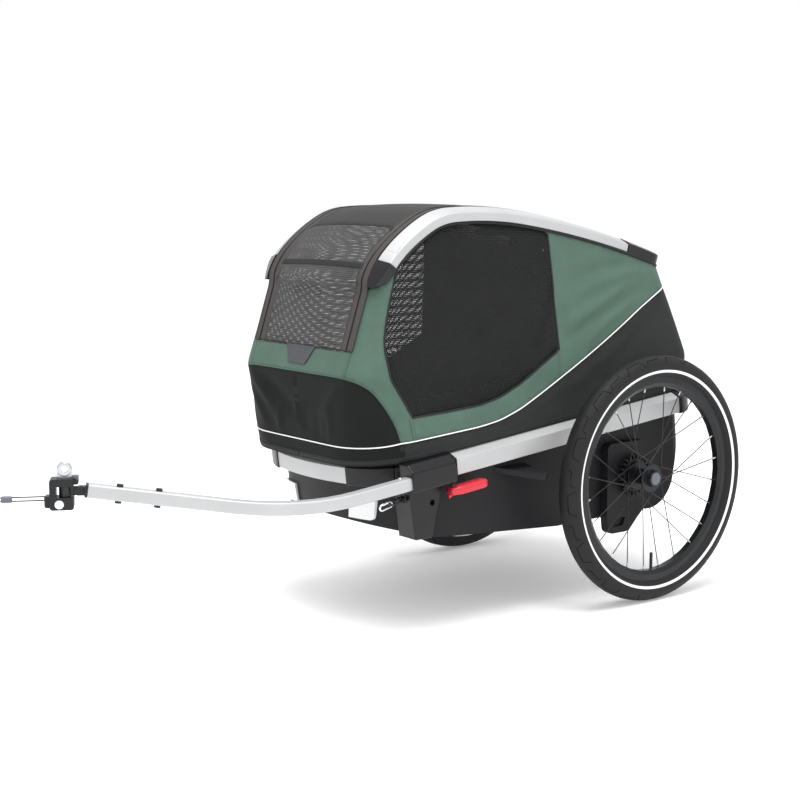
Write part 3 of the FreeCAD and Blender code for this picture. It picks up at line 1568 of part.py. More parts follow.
def cabin_shell():
    wall = cabin_block(0).cut(cabin_block(fabric_t))
    far = 2 * frame_front
    below = tilted(box((-far, -far, -far), (far, far, rail_top_h + boot_t + seat_gap)))
    return wall.cut(below)


def below_piping(gap):
    """Side view of the dark lower skirt."""
    end_y, end_z = piping[-1]
    far = frame_rear
    tail = (end_y + far * piping_run_shares[0], end_z + far * piping_run_shares[1])
    first = piping[0]
    points = [(-2 * frame_front, cabin_low), (-2 * frame_front, band_low - gap), (first[0], band_low - gap)]
    points += [(y, z - gap) for y, z in piping]
    points += [(tail[0], tail[1] - gap), (tail[0], cabin_low)]
    return side_prism(points, -frame_half_w, frame_half_w)


def window_block(gap):
    return side_prism(grown(window, gap), -frame_half_w, frame_half_w)


def door_block(gap):
    """Front view of the mesh door."""
    low = band_top - gap
    high = cabin_high
    points = [V(-door_low_half - gap, 0, low), V(door_low_half + gap, 0, low), V(door_top_half + gap, 0, high),
              V(-door_top_half - gap, 0, high)]
    face = polygon(points)
    face.translate(V(0, -2 * frame_front, 0))
    return face.extrude(V(0, 2 * frame_front - door_depth, 0))


def rear_door_block(gap):
    half = rear_door_half + gap
    return box((-half, 0, rear_door_low - gap), (half, frame_front, cabin_high))


def cabin_parts():
    """The sewn cabin cut into its cover, skirt, windows, front mesh and rear door."""
    shell = cabin_shell()
    sides = shell.cut(above_roof(under_rail(), -frame_half_w, frame_half_w))
    skirt = sides.common(below_piping(seat_gap)).cut(rear_door_block(seat_gap))
    upper = sides.cut(below_piping(0))
    windows = upper.common(window_block(0))
    cover = upper.cut(window_block(seat_gap)).cut(door_block(seat_gap)).cut(rear_door_block(seat_gap))
    mesh = shell.common(door_block(0)).common(box((-frame_half_w, -2 * frame_front, cabin_low),
                                                  (frame_half_w, 0, mesh_top)))
    over = above_roof(roof_drop + roof_t + seat_gap, -frame_half_w, frame_half_w)
    rear = shell.common(rear_door_block(0)).cut(over)
    return skirt, cover, windows, mesh, rear


reach = -min(corner.Y for corner in lanyard_anchor().Vertexes)
axle_y = (reach - tyre_r) / 2


def emit(node, shape):
    placed = shape.copy()
    placed.translate(V(0, axle_y, 0))
    placed.exportStep("parts/%s.step" % node)


emit("floor_tub", floor_tub())
emit("floor_mat", floor_mat())
left_rail = side_rail()
emit("side_rails", pair(left_rail))
emit("front_crossbar", front_crossbar())
emit("rear_crossbar", rear_crossbar())
left_rear = rear_corner()
emit("frame_corners",
     Part.makeCompound([receiver_corner(), mirrored(front_corner()), left_rear, mirrored(left_rear)]))
emit("arm_receiver", arm_receiver())
emit("arm_lock_lever", arm_lock_lever())
emit("axle_brackets", pair(axle_bracket()))
emit("wheel_axles", wheel_axles())
emit("wheel_guards", pair(wheel_guard()))
emit("front_reflectors", pair(front_reflector()))
emit("hook_bail", hook_bail())
emit("snap_hook", snap_hook())
emit("pedal_mount", pedal_mount())
emit("brake_pedal", brake_pedal())
emit("brake_pin_left", brake_pin())
emit("brake_pin_right", mirrored(brake_pin()))

for name, side in (("left", 1), ("right", -1)):
    for node, shape in (("tyre", tyre()), ("rim", rim()), ("spokes", spokes()), ("hub", hub()),
                        ("hub_bearings", bearings()), ("brake_ring", brake_ring()), ("hub_button", hub_button())):
        emit("%s_%s" % (node, name), at_wheel(shape, side))

emit("arm_tube", arm_tube())
emit("arm_bolts", arm_bolts())
emit("arm_snap_pin", arm_snap_pin())
emit("hitch_stub", hitch_stub())
emit("hitch_cross", hitch_cross())
emit("hitch_cross_pin", hitch_cross_pin())
emit("hitch_pin", hitch_pin())
emit("hitch_head", hitch_head())
emit("axle_cup", axle_cup())
emit("latch_lever", latch_lever())
emit("lock_button", lock_button())
emit("lanyard_anchor", lanyard_anchor())
emit("lanyard", lanyard())
emit("lanyard_bead", lanyard_bead())

rail = top_rail()
emit("top_rails", pair(rail))
emit("rail_caps", Part.makeCompound([pair(front_cap()), pair(rear_cap())]))
emit("roof_bows", roof_bows())
emit("roof_hinges", pair(roof_hinge()))
emit("roof_fabric", roof_fabric())
leg = hoop_leg()
emit("hoop_legs", pair(leg))
emit("hoop_bar", hoop_bar())
emit("hoop_feet", pair(hoop_foot()))
emit("pivot_pins", Part.makeCompound([pair(hoop_pin()), lever_pin()]))

skirt, cover, windows, mesh, rear_door = cabin_parts()
emit("skirt_fabric", skirt)
emit("cabin_cover", cover)
emit("side_windows", windows)
emit("front_mesh_door", Part.makeCompound([mesh, mesh_sheet()]))
emit("rear_door", rear_door)


def say(name, point):
    print("%s %.2f %.2f %.2f" % (name, point.x, point.y + axle_y, point.z))


say("wheel", V(track_half, 0, tyre_r))
say("hoop_foot", V(0, hoop_foot_y, hoop_foot_z))
say("knuckle", V(0, knuckle_y, knuckle_z))
say("lever_pin", tilted_point(*lever_pin_place()))
say("snap_pin", snap_pin_place()[0])
say("arm_tail", arm_points()[0])
say("pedal_pin", tilted_point(0, *pedal_pin_place()))
say("hitch_cross_pin", hitch_point(0, cross_reach, 0))
say("hitch_pin", hitch_point(0, 0, 0))
say("axle_cup_bore", hitch_point(0, 0, cup_ring_z))
say("latch_pin", hitch_point(0, *latch_pin_place()))
say("lock_button", hitch_point(head_w / 2, lock_button_y, lock_button_z))
say("lug", lug_place())
say("hook", hook_pivot())
say("brake_pin", V(brake_pin_rest, *brake_pin_place()))
print("hitch turn %.3f, axle_y %.3f" % (hitch_turn(), axle_y))
print("arm ahead", arm_heading(), "up", arm_axes(arm_heading())[1])
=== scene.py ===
import bmesh
import bpy
import math
import numpy as np
from mathutils import Matrix, Vector, noise
from mathutils.geometry import delaunay_2d_cdt


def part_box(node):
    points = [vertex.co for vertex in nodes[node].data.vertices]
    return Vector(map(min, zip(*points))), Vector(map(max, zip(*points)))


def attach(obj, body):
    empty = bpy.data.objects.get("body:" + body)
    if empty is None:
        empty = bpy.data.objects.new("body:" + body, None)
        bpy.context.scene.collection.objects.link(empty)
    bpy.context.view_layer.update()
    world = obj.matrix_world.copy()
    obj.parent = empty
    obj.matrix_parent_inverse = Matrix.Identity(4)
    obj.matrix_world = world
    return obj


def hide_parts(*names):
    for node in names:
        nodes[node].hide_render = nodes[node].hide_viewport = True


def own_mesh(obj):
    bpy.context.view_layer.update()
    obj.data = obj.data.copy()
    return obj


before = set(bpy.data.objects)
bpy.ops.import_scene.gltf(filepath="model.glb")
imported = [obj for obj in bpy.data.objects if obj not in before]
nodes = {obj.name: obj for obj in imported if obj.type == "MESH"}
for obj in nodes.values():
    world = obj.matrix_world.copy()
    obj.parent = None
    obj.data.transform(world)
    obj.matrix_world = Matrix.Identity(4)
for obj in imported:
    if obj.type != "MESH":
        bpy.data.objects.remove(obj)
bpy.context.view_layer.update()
tyreLow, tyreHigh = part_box("tyre_left")
axleY = (tyreLow.y + tyreHigh.y) / 2 * 1000.0  # pieces are drawn in mm with the axle at y 0
print("frame loaded, axle at", round(axleY, 2))


def linear(hexText):  # sRGB hex to linear RGBA
    parts = [int(hexText[i:i + 2], 16) / 255.0 for i in (1, 3, 5)]
    return tuple(c / 12.92 if c <= 0.04045 else ((c + 0.055) / 1.055) ** 2.4 for c in parts) + (1.0,)


def addNode(tree, kind, settings=None, links=()):  # one node with its settings and incoming links
    node = tree.nodes.new(kind)
    for key, value in (settings or {}).items():
        if isinstance(key, int) or key in node.inputs:
            node.inputs[key].default_value = value
        else:
            setattr(node, key, value)
    for key, source in links:
        tree.links.new(source, node.inputs[key])
    return node


def startMaterial(name, look):  # a shader with the values that are the same all over
    material = bpy.data.materials.new(name)
    material.use_nodes = True
    tree = material.node_tree
    tree.nodes.clear()
    shader = addNode(tree, "ShaderNodeBsdfPrincipled", look)
    addNode(tree, "ShaderNodeOutputMaterial", {}, [("Surface", shader.outputs[0])])
    return material, tree, shader


def noiseOn(tree, place, scale, detail, rough=0.5):  # scale is in repeats a metre
    settings = {"Scale": scale, "Detail": detail, "Roughness": rough}
    return addNode(tree, "ShaderNodeTexNoise", settings, [("Vector", place)]).outputs["Fac"]


def colourBy(tree, shader, dark, light, share):
    ends = {"data_type": "RGBA", 6: linear(dark), 7: linear(light)}
    mix = addNode(tree, "ShaderNodeMix", ends, [(0, share)])
    tree.links.new(mix.outputs[2], shader.inputs["Base Color"])


def roughBy(tree, shader, rough, spread, share):
    ends = {"To Min": rough - spread, "To Max": rough + spread}
    made = addNode(tree, "ShaderNodeMapRange", ends, [("Value", share)])
    tree.links.new(made.outputs[0], shader.inputs["Roughness"])


def bumpBy(tree, shader, strength, deepMm, height):
    settings = {"Strength": strength, "Distance": deepMm / 1000}
    made = addNode(tree, "ShaderNodeBump", settings, [("Height", height)])
    tree.links.new(made.outputs[0], shader.inputs["Normal"])


def wovenCloth(name, light, dark, rough, sheen, yarnMm, bump, gloss=0.3):
    # coated polyester: matt yarn bundles with their crowns painted lighter as a painted highlight, slightly
    # uneven dye
    look = {"IOR": 1.5, "Specular IOR Level": gloss, "Sheen Weight": sheen, "Sheen Roughness": 0.55,
            "Sheen Tint": linear(light)}
    material, tree, shader = startMaterial(name, look)
    place = addNode(tree, "ShaderNodeUVMap", {"uv_map": "weave"}).outputs[0]
    # a wave of scale 1 repeats every 314.16 mm; a real yarn of 0.5 mm is too fine to show, so it is coarser
    wave = {"Scale": 314.16 / yarnMm, "Distortion": 0.6, "Detail": 1.0, "Detail Scale": 3.0}
    warp, weft = (addNode(tree, "ShaderNodeTexWave", dict(wave, bands_direction=axis), [("Vector", place)])
                  for axis in ("X", "Y"))
    yarn = addNode(tree, "ShaderNodeMath", {"operation": "MULTIPLY"},
                   [(0, warp.outputs["Fac"]), (1, weft.outputs["Fac"])]).outputs[0]
    dye = noiseOn(tree, place, 14.0, 4.0, 0.6)  # 70 mm clouds
    fleck = noiseOn(tree, place, 900.0, 2.0)
    # the yarn crowns are painted lighter here, a painted highlight, over the uneven dye clouds
    tone = addNode(tree, "ShaderNodeMath", {"operation": "MULTIPLY_ADD", 1: 0.45}, [(0, yarn), (2, dye)])
    tone = addNode(tree, "ShaderNodeMath", {"operation": "MULTIPLY_ADD", 1: 0.35},
                   [(0, fleck), (2, tone.outputs[0])])
    share = addNode(tree, "ShaderNodeMapRange", {"From Min": 0.35, "From Max": 1.15},
                    [("Value", tone.outputs[0])])
    colourBy(tree, shader, dark, light, share.outputs[0])
    roughBy(tree, shader, rough, 0.08, dye)
    bumpBy(tree, shader, bump, 0.6, yarn)
    return material


def mouldedPlastic(name, light, dark, rough, grainMm, gloss=0.3, coat=0.0, bump=0.12, wear=0.35):
    # spark-eroded mould grain: fine pebble in the gloss, edges rubbed a little lighter
    look = {"IOR": 1.49, "Specular IOR Level": gloss, "Coat Weight": coat, "Coat Roughness": 0.2}
    material, tree, shader = startMaterial(name, look)
    place = addNode(tree, "ShaderNodeTexCoord").outputs["Object"]
    grain = addNode(tree, "ShaderNodeTexVoronoi", {"Scale": 1000.0 / grainMm}, [("Vector", place)])
    cloud = noiseOn(tree, place, 22.0, 5.0, 0.6)
    edges = addNode(tree, "ShaderNodeNewGeometry").outputs["Pointiness"]
    worn = addNode(tree, "ShaderNodeMapRange", {"From Min": 0.5, "From Max": 0.62, "To Max": wear},
                   [("Value", edges)])
    tone = addNode(tree, "ShaderNodeMath", {"operation": "MULTIPLY_ADD", 1: 0.5, "use_clamp": True},
                   [(0, cloud), (2, worn.outputs[0])])
    colourBy(tree, shader, dark, light, tone.outputs[0])
    roughBy(tree, shader, rough, 0.07, cloud)
    bumpBy(tree, shader, bump, 0.3, grain.outputs["Distance"])
    return material


def metalFinish(name, light, dark, rough, lines, stretch, metal=1.0, bump=0.05):
    # drawn or turned metal: faint lines along the drawing direction, cloudy gloss
    material, tree, shader = startMaterial(name, {"Metallic": metal, "Anisotropic": lines})
    place = addNode(tree, "ShaderNodeTexCoord").outputs["Object"]
    drawn = addNode(tree, "ShaderNodeMapping", {"Scale": stretch}, [("Vector", place)])
    streak = noiseOn(tree, drawn.outputs[0], 1.0, 3.0, 0.55)
    colourBy(tree, shader, dark, light, noiseOn(tree, place, 16.0, 4.0))
    roughBy(tree, shader, rough, 0.06, streak)
    bumpBy(tree, shader, bump, 0.1, streak)
    return material


def tyreRubber(name):
    # vulcanised rubber: fine grit, dull with a faint bloom
    material, tree, shader = startMaterial(name, {"IOR": 1.52, "Specular IOR Level": 0.22})
    place = addNode(tree, "ShaderNodeTexCoord").outputs["Object"]
    bloom = noiseOn(tree, place, 35.0, 6.0, 0.65)
    colourBy(tree, shader, "#141415", "#222223", bloom)
    roughBy(tree, shader, 0.61, 0.11, bloom)
    bumpBy(tree, shader, 0.25, 0.3, noiseOn(tree, place, 700.0, 2.0))
    return material


# cloths: light and dark tone (uneven dye, yarn crowns painted lighter), roughness, sheen, yarn width in mm,
# relief, and gloss where it isn't 0.3
sageCloth = wovenCloth("sage_coated_polyester_woven", "#516A5E", "#41554B", 0.74, 0.12, 1.6, 0.35)
charcoalCloth = wovenCloth("charcoal_coated_polyester_woven", "#2C2D2D", "#202121", 0.7, 0.06, 1.8, 0.4, 0.2)
# the front panel's cloth: a darker, duller copy of the charcoal cloth, painted shade for the front's weaker
# light
frontShadeCloth = wovenCloth("charcoal_polyester_woven_front_shade", "#1C1D1D", "#131414", 0.66, 0.02, 1.8, 0.4, 0.12)
roofCloth = wovenCloth("slate_coated_polyester_woven", "#303030", "#222223", 0.66, 0.12, 1.6, 0.4)
liningCloth = wovenCloth("black_coating_of_polyester_back", "#2A2B2B", "#1C1D1D", 0.6, 0.05, 1.6, 0.15)
netYarn = wovenCloth("black_polyester_net_knitted", "#646464", "#4C4C4C", 0.6, 0.08, 1.2, 0.2)
windowYarn = wovenCloth("black_coated_net_woven", "#282929", "#1C1D1D", 0.5, 0.05, 1.2, 0.2)
tapeCloth = wovenCloth("brown_grey_zip_tape_woven", "#4A4645", "#373433", 0.72, 0.15, 1.4, 0.5)
pipingCloth = wovenCloth("white_reflective_piping_woven", "#F4F4F2", "#DADAD8", 0.45, 0.2, 1.2, 0.2)
matCloth = wovenCloth("dark_grey_quilted_polyester", "#454546", "#313132", 0.8, 0.2, 2.0, 0.6)
cordYarn = wovenCloth("grey_nylon_cord_braided", "#2E2F30", "#1C1D1E", 0.6, 0.1, 1.2, 0.6)

# plastics: light and dark tone, roughness, grain in mm, then what isn't usual
tubPlastic = mouldedPlastic("black_polypropylene_moulded", "#222225", "#151517", 0.5, 1.4, gloss=0.2)
darkPlastic = mouldedPlastic("charcoal_nylon_moulded", "#19191C", "#111113", 0.32, 1.2, bump=0.08)
capPlastic = mouldedPlastic("black_abs_polished_moulded", "#26262A", "#19191C", 0.24, 1.0, gloss=0.22,
                            coat=0.12, bump=0.04)
blackPlastic = mouldedPlastic("black_nylon_moulded", "#232427", "#151618", 0.36, 1.0)
greyPlastic = mouldedPlastic("blue_grey_nylon_moulded", "#6E767C", "#565E64", 0.42, 1.0)
redPlastic = mouldedPlastic("red_abs_moulded", "#D23542", "#BA2030", 0.3, 1.0, coat=0.3, bump=0.05, wear=0.15)
# a darker copy of the red plastic for the finger marks: painted shade that stands in for the shadow in their
# grooves
redPaintedGrooveShade = mouldedPlastic("red_abs_painted_groove_shade", "#B02A36", "#982030", 0.4, 1.0, bump=0.05, wear=0.1)
badgePlastic = mouldedPlastic("slate_pvc_patch_moulded", "#53565A", "#3B3D41", 0.5, 1.2)
reflector = mouldedPlastic("clear_acrylic_prism_moulded", "#E6E7E8", "#D4D6D8", 0.2, 3.0, coat=0.6,
                           bump=0.6, wear=0.0)
stripe = mouldedPlastic("white_reflective_bead_tape", "#F6F6F4", "#E2E2E0", 0.4, 0.8, wear=0.0)

# metals: light and dark tone, roughness, brushed lines, streaks a metre each way, then what isn't usual
anodised = metalFinish("anodised_aluminium_extruded", "#BABABB", "#ADAEAF", 0.5, 0.0, (900.0, 12.0, 900.0),
                       metal=0.35)
zincSteel = metalFinish("zinc_plated_steel_turned", "#D2D3D5", "#B4B6B9", 0.3, 0.2, (400.0,) * 3)
chromeSteel = metalFinish("chromed_steel_polished", "#E4E5E7", "#D6D8DA", 0.12, 0.0, (200.0,) * 3, bump=0.02)
spokeSteel = metalFinish("black_enamelled_steel_drawn", "#1B1B1C", "#101011", 0.45, 0.0, (300.0,) * 3,
                         metal=0.0)
blackSteel = metalFinish("black_coated_steel_drawn", "#2B2C2E", "#18191A", 0.34, 0.1, (300.0,) * 3,
                         metal=0.35)
blackAlloy = metalFinish("black_anodised_aluminium_rolled", "#27282A", "#17181A", 0.32, 0.2,
                         (600.0, 60.0, 60.0), metal=0.55)
rubber = tyreRubber("black_tyre_rubber_vulcanised")
print("materials ready:", len(bpy.data.materials))

# camera at the photograph's place, level light all round, a soft key from above and a weak fill from the left
view = {"at": (2.3812, -1.7524, 0.8108), "ahead": (-0.7885, 0.6007, -0.1323), "up": (-0.1052, 0.0802, 0.9913),
        "lensMm": 67.8, "sensorMm": 36.0}
studio = {"dome": 1.0, "floorGlow": 0.22, "floorHalf": 40.0,
          "lamps": (("key", (0.9, -0.5, 4.6), (0, 0.1, 0.3), 2.6, 185.0),
                    ("fill", (4.2, 0.4, 1.8), (0, 0.1, 0.4), 2.4, 14.0))}  # place, target, size, watts


def added(name, data):  # a new object in the scene
    thing = bpy.data.objects.new(name, data)
    bpy.context.scene.collection.objects.link(thing)
    return thing


def aimed(place, ahead, up):  # a placing that looks ahead
    forward = Vector(ahead).normalized()
    right = forward.cross(Vector(up)).normalized()
    turn = Matrix((right, right.cross(forward), -forward)).transposed()
    return Matrix.Translation(place) @ turn.to_4x4()


cameraData = bpy.data.cameras.new("camera")
cameraData.lens = view["lensMm"]
cameraData.sensor_width = view["sensorMm"]
camera = added("camera", cameraData)
camera.matrix_world = aimed(view["at"], view["ahead"], view["up"])
bpy.context.scene.camera = camera
bpy.context.scene.view_settings.view_transform = "Standard"
world = bpy.data.worlds.new("studio")
bpy.context.scene.world = world
world.use_nodes = True
world.node_tree.nodes["Background"].inputs[0].default_value = (1.0, 1.0, 1.0, 1.0)
world.node_tree.nodes["Background"].inputs[1].default_value = studio["dome"]
for name, place, target, size, watts in studio["lamps"]:
    lamp = bpy.data.lights.new(name, "AREA")
    lamp.energy = watts
    lamp.size = size
    added(name, lamp).matrix_world = aimed(place, Vector(target) - Vector(place), (0, 0, 1))

floorMesh = bpy.data.meshes.new("floor")
floorCorners = np.array(((-1, -1, 0), (1, -1, 0), (1, 1, 0), (-1, 1, 0))) * studio["floorHalf"]
floorMesh.from_pydata([tuple(p) for p in floorCorners], [], [(0, 1, 2, 3)])
paper = {"Base Color": linear("#F4F4F4"), "Roughness": 0.9, "Specular IOR Level": 0.1,
         "Emission Color": (1, 1, 1, 1), "Emission Strength": studio["floorGlow"]}
floorMesh.materials.append(startMaterial("white_paper_matt", paper)[0])
added("floor", floorMesh)
print("camera, lamps and floor placed")


def rows(points):  # drawing mm to the row's metres
    placed = np.array(points, float).reshape(-1, 3)
    placed[:, 1] += axleY
    return placed / 1000.0


def newPiece(name, points, faces, materials, slots=None, weave=None, smooth=True):
    placed = rows(points)
    mesh = bpy.data.meshes.new(name)
    mesh.from_pydata([tuple(p) for p in placed], [], [tuple(int(i) for i in f) for f in faces])
    for material in materials:
        mesh.materials.append(material)
    if slots is not None:
        mesh.polygons.foreach_set("material_index", np.array(slots, np.int32))
    if weave is None:  # narrow pieces take one slanted flat mapping
        weave = np.stack([placed[:, 0] + placed[:, 1], placed[:, 2] + 0.37 * placed[:, 1]], 1)
    layer = mesh.uv_layers.new(name="weave")
    corners = np.zeros(len(mesh.loops), np.int32)
    mesh.loops.foreach_get("vertex_index", corners)
    layer.data.foreach_set("uv", np.array(weave, float)[corners].ravel())
    mesh.polygons.foreach_set("use_smooth", np.full(len(mesh.polygons), smooth))
    mesh.update()
    return added(name, mesh)


def addModifier(piece, kind, **settings):
    modifier = piece.modifiers.new(kind.lower(), kind)
    for key, value in settings.items():
        setattr(modifier, key, value)


def cleaned(piece, gap=0.0, turn=False):  # near points merged and faces turned outward; gives the area
    mesh = bmesh.new()
    mesh.from_mesh(piece.data)
    if gap:
        bmesh.ops.remove_doubles(mesh, verts=mesh.verts, dist=gap)
    if turn:
        bmesh.ops.recalc_face_normals(mesh, faces=mesh.faces)
    area = sum(f.calc_area() for f in mesh.faces)
    mesh.to_mesh(piece.data)
    mesh.free()
    return area


def settle(piece, body, replaced=None):  # the body it rides on and the node it stands for
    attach(piece, body)
    if replaced:
        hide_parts(replaced)


def unit(vectors):  # each at length 1
    return vectors / np.linalg.norm(vectors, axis=-1)[..., None]


def acrossOf(line, outward):  # the way across a tape that lies along a line
    return unit(np.cross(outward, np.gradient(line, axis=0)))


def runsOf(line):  # how far along a line each of its points is
    return np.concatenate([[0], np.cumsum(np.linalg.norm(np.diff(line, axis=0), axis=1))])


def smoothed(values, width):  # a row of values with its corners eased
    kernel = np.hanning(width + 2)[1:-1]
    wide = np.pad(values, width // 2, "reflect", reflect_type="odd")
    return np.convolve(wide, kernel / kernel.sum(), "valid")


def skin(count, sides):  # faces round rings of points, with flat ends
    faces = []
    for a in range(0, (count - 1) * sides, sides):
        for k in range(sides):
            n = (k + 1) % sides
            faces.append((a + k, a + n, a + sides + n, a + sides + k))
    return faces + [tuple(range(sides))[::-1], tuple(range((count - 1) * sides, count * sides))]


def tubeMesh(path, radius, sides):  # round bar along points, radius may change along it
    path = np.array(path, float)
    radii = np.broadcast_to(np.array(radius, float), (len(path),))
    aheads = unit(np.gradient(path, axis=0))
    side = np.cross(aheads[0], (0.13, 0.21, 0.97))  # a way that no bar here starts along
    points = []
    for place, ahead, r in zip(path, aheads, radii):
        side = unit(side - ahead * side.dot(ahead))
        up = np.cross(ahead, side)
        for a in np.arange(sides) * 2 * math.pi / sides:
            points.append(place + (side * math.cos(a) + up * math.sin(a)) * r)
    return points, skin(len(path), sides)


def ribbonMesh(path, across, outward, width, thick):  # flat tape along points with a soft crown
    section = ((-0.5, 0.0), (-0.46, 0.8), (-0.2, 1.0), (0.2, 1.0), (0.46, 0.8), (0.5, 0.0))
    points = [place + side * (a * width) + out * (b * thick)
              for place, side, out in zip(path, across, outward) for a, b in section]
    return points, skin(len(path), len(section))


def joined(parts):  # several point and face lists as one
    points, faces, slots = [], [], []
    for part in parts:
        start = len(points)
        points += [tuple(p) for p in part[0]]
        faces += [tuple(i + start for i in f) for f in part[1]]
        slots += [part[2] if len(part) > 2 else 0] * len(part[1])
    return points, faces, slots


def mirroredPart(part):
    points = [(-p[0], p[1], p[2]) for p in part[0]]
    faces = [tuple(reversed(f)) for f in part[1]]
    return (points, faces) + tuple(part[2:])


def joinedPiece(name, parts, materials):
    points, faces, slots = joined(parts)
    return newPiece(name, points, faces, materials, slots)


def pairedPiece(name, parts, materials):  # the left side's parts with their mirror image
    return joinedPiece(name, parts + [mirroredPart(p) for p in parts], materials)


# the lanyard's cord: out of the hitch's anchor, through the bead, round and back
lanyard = {"route": ((42.55, -717.80, 308.8), (-3.9, -804.95, 308.8), (-10.12, -816.64, 308.8),
                     (-10.12, -816.64, 315.2), (-3.9, -804.95, 315.2), (42.55, -717.80, 315.2)),  # row mm
           "lengthM": 0.2277, "diameterM": 0.0022}
cordData = bpy.data.curves.new("lanyard_cord", "CURVE")
cordData.dimensions = "3D"
cordData.bevel_depth = lanyard["diameterM"] / 2
cordData.bevel_resolution = 3
cordData.resolution_u = 16
cordData.use_fill_caps = True
spline = cordData.splines.new("NURBS")
spline.points.add(len(lanyard["route"]) - 1)
for point, place in zip(spline.points, lanyard["route"]):
    point.co = (place[0] / 1000, place[1] / 1000, place[2] / 1000, 1.0)
spline.order_u = 3
spline.use_endpoint_u = True
cordData.materials.append(cordYarn)
cord = added("lanyard_cord", cordData)
settle(cord, "hitch_head", "lanyard")
print("lanyard done")

# tyres: smooth-rolling tread with sunk curved sipes, round shoulders, a reflective stripe on each wall
tyre = {"centreX": 303.0, "centreZ": 250.0, "radius": 250.0, "pitches": 14, "treadHalf": 30.0, "steps": 8,
        "profile": ((0, 250), (6.5, 249.3), (12.5, 246.9), (17.8, 242.6), (21.4, 237), (23.2, 230.5),
                    (23.4, 226), (22.6, 220.5), (20.6, 215.6), (17.2, 211.2), (13.2, 208.2), (11.2, 206.8)),
        "ease": 29, "wallRings": (30.0, 33.2, 37.0, 41.2, 44.0, 46.8, 50.6, 54.1, 57.5, 61.4),
        "stripe": (41.2, 46.8),
        "sipes": (((8, 28), (12, 20), (15.5, 13), (17, 12), (35, 12), (51, 12), (52.5, 13), (56, 20),
                   (60, 28)),
                  ((68, 24), (70, 18), (71, 17), (85, 16.5), (99, 16.5), (100, 15.5), (101.5, 10))),
        "depth": 1.4, "mouthHalf": 0.95, "floorHalf": 0.5, "sipeRoom": 3.2, "edgeRoom": 3.0,
        "gridAlong": 19, "gridAcross": 10, "sharp": math.radians(38)}


def offsetRing(line, half):  # closed outline round a bent line
    line = np.array(line, float)
    ahead = unit(np.gradient(line, axis=0))
    side = np.stack([-ahead[:, 1], ahead[:, 0]], 1)
    return [tuple(p) for p in line + side * half] + [tuple(line[-1] + ahead[-1] * half)] + \
           [tuple(p) for p in (line - side * half)[::-1]] + [tuple(line[0] - ahead[0] * half)]


def buildTyre():
    profile = np.array(tyre["profile"], float)
    runs = runsOf(profile)
    fine = np.linspace(-runs[-1], runs[-1], 500)
    fineX = smoothed(np.interp(np.abs(fine), runs, profile[:, 0]) * np.sign(fine), tyre["ease"])
    fineR = smoothed(np.interp(np.abs(fine), runs, profile[:, 1]), tyre["ease"])
    fineR += tyre["radius"] - fineR.max()
    slopeX, slopeR = np.gradient(fineX, fine), np.gradient(fineR, fine)

    def onTyre(u, v, sink):
        x, r = np.interp(v, fine, fineX), np.interp(v, fine, fineR)
        nx, nr = -np.interp(v, fine, slopeR), np.interp(v, fine, slopeX)
        long = math.hypot(nx, nr)
        x, r = x - sink * nx / long, r - sink * nr / long
        a = u / tyre["radius"]
        return (x, r * math.sin(a), r * math.cos(a))

    pitch = 2 * math.pi * tyre["radius"] / tyre["pitches"]
    half, steps = tyre["treadHalf"], tyre["steps"]
    flat, edges, sunk = [], [], []

    def addRing(ring, depth):
        start = len(flat)
        flat.extend(Vector(p) for p in ring)
        sunk.extend([depth] * len(ring))
        edges.extend((start + i, start + (i + 1) % len(ring)) for i in range(len(ring)))

    rise = np.linspace(-half, half, tyre["gridAcross"] + 1)[1:-1]
    border = [(pitch * i / steps, -half) for i in range(steps + 1)] + [(pitch, v) for v in rise]
    border += [(pitch * (steps - i) / steps, half) for i in range(steps + 1)] + [(0, v) for v in rise[::-1]]
    addRing(border, 0.0)
    sipes = []
    for line in tyre["sipes"]:
        for flip in (False, True):
            bent = [(pitch - u, -v) if flip else (u, v) for u, v in line]
            addRing(offsetRing(bent, tyre["mouthHalf"]), 0.0)
            addRing(offsetRing(bent, tyre["floorHalf"]), tyre["depth"])
            sipes.append(np.array(bent))
    along, across = tyre["gridAlong"], tyre["gridAcross"]
    for i in range(1, along):
        for j in range(1, across):
            place = np.array((pitch * (i + 0.5 * (j % 2)) / along, -half + 2 * half * j / across))
            room = min(np.linalg.norm(s - place, axis=1).min() for s in sipes)
            if pitch - place[0] > tyre["edgeRoom"] and room > tyre["sipeRoom"]:
                flat.append(Vector(place))
                sunk.append(0.0)
    made, _, triangles, origins, _, _ = delaunay_2d_cdt(flat, edges, [], 0, 1e-5)
    depth = [max((sunk[i] for i in origin), default=0.0) for origin in origins]
    mesh = bmesh.new()
    for p in range(tyre["pitches"]):
        verts = [mesh.verts.new(onTyre(v.x + p * pitch, v.y, d)) for v, d in zip(made, depth)]
        for t in triangles:
            if len(set(t)) == 3:
                mesh.faces.new([verts[i] for i in t])
    count = steps * tyre["pitches"]
    for sign in (-1, 1):
        rings = [[mesh.verts.new(onTyre(pitch * k / steps, sign * v, 0.0)) for k in range(count)]
                 for v in tyre["wallRings"]]
        for low, near, far in zip(tyre["wallRings"], rings, rings[1:]):
            for k in range(count):
                n = (k + 1) % count
                face = mesh.faces.new((near[k], near[n], far[n], far[k]))
                face.material_index = 1 if tyre["stripe"][0] <= low < tyre["stripe"][1] else 0
    bmesh.ops.remove_doubles(mesh, verts=mesh.verts, dist=0.02)
    bmesh.ops.recalc_face_normals(mesh, faces=mesh.faces)
    points = [tuple(v.co) for v in mesh.verts]
    faces = [[v.index for v in f.verts] for f in mesh.faces]
    slots = [f.material_index for f in mesh.faces]
    mesh.free()
    return points, faces, slots


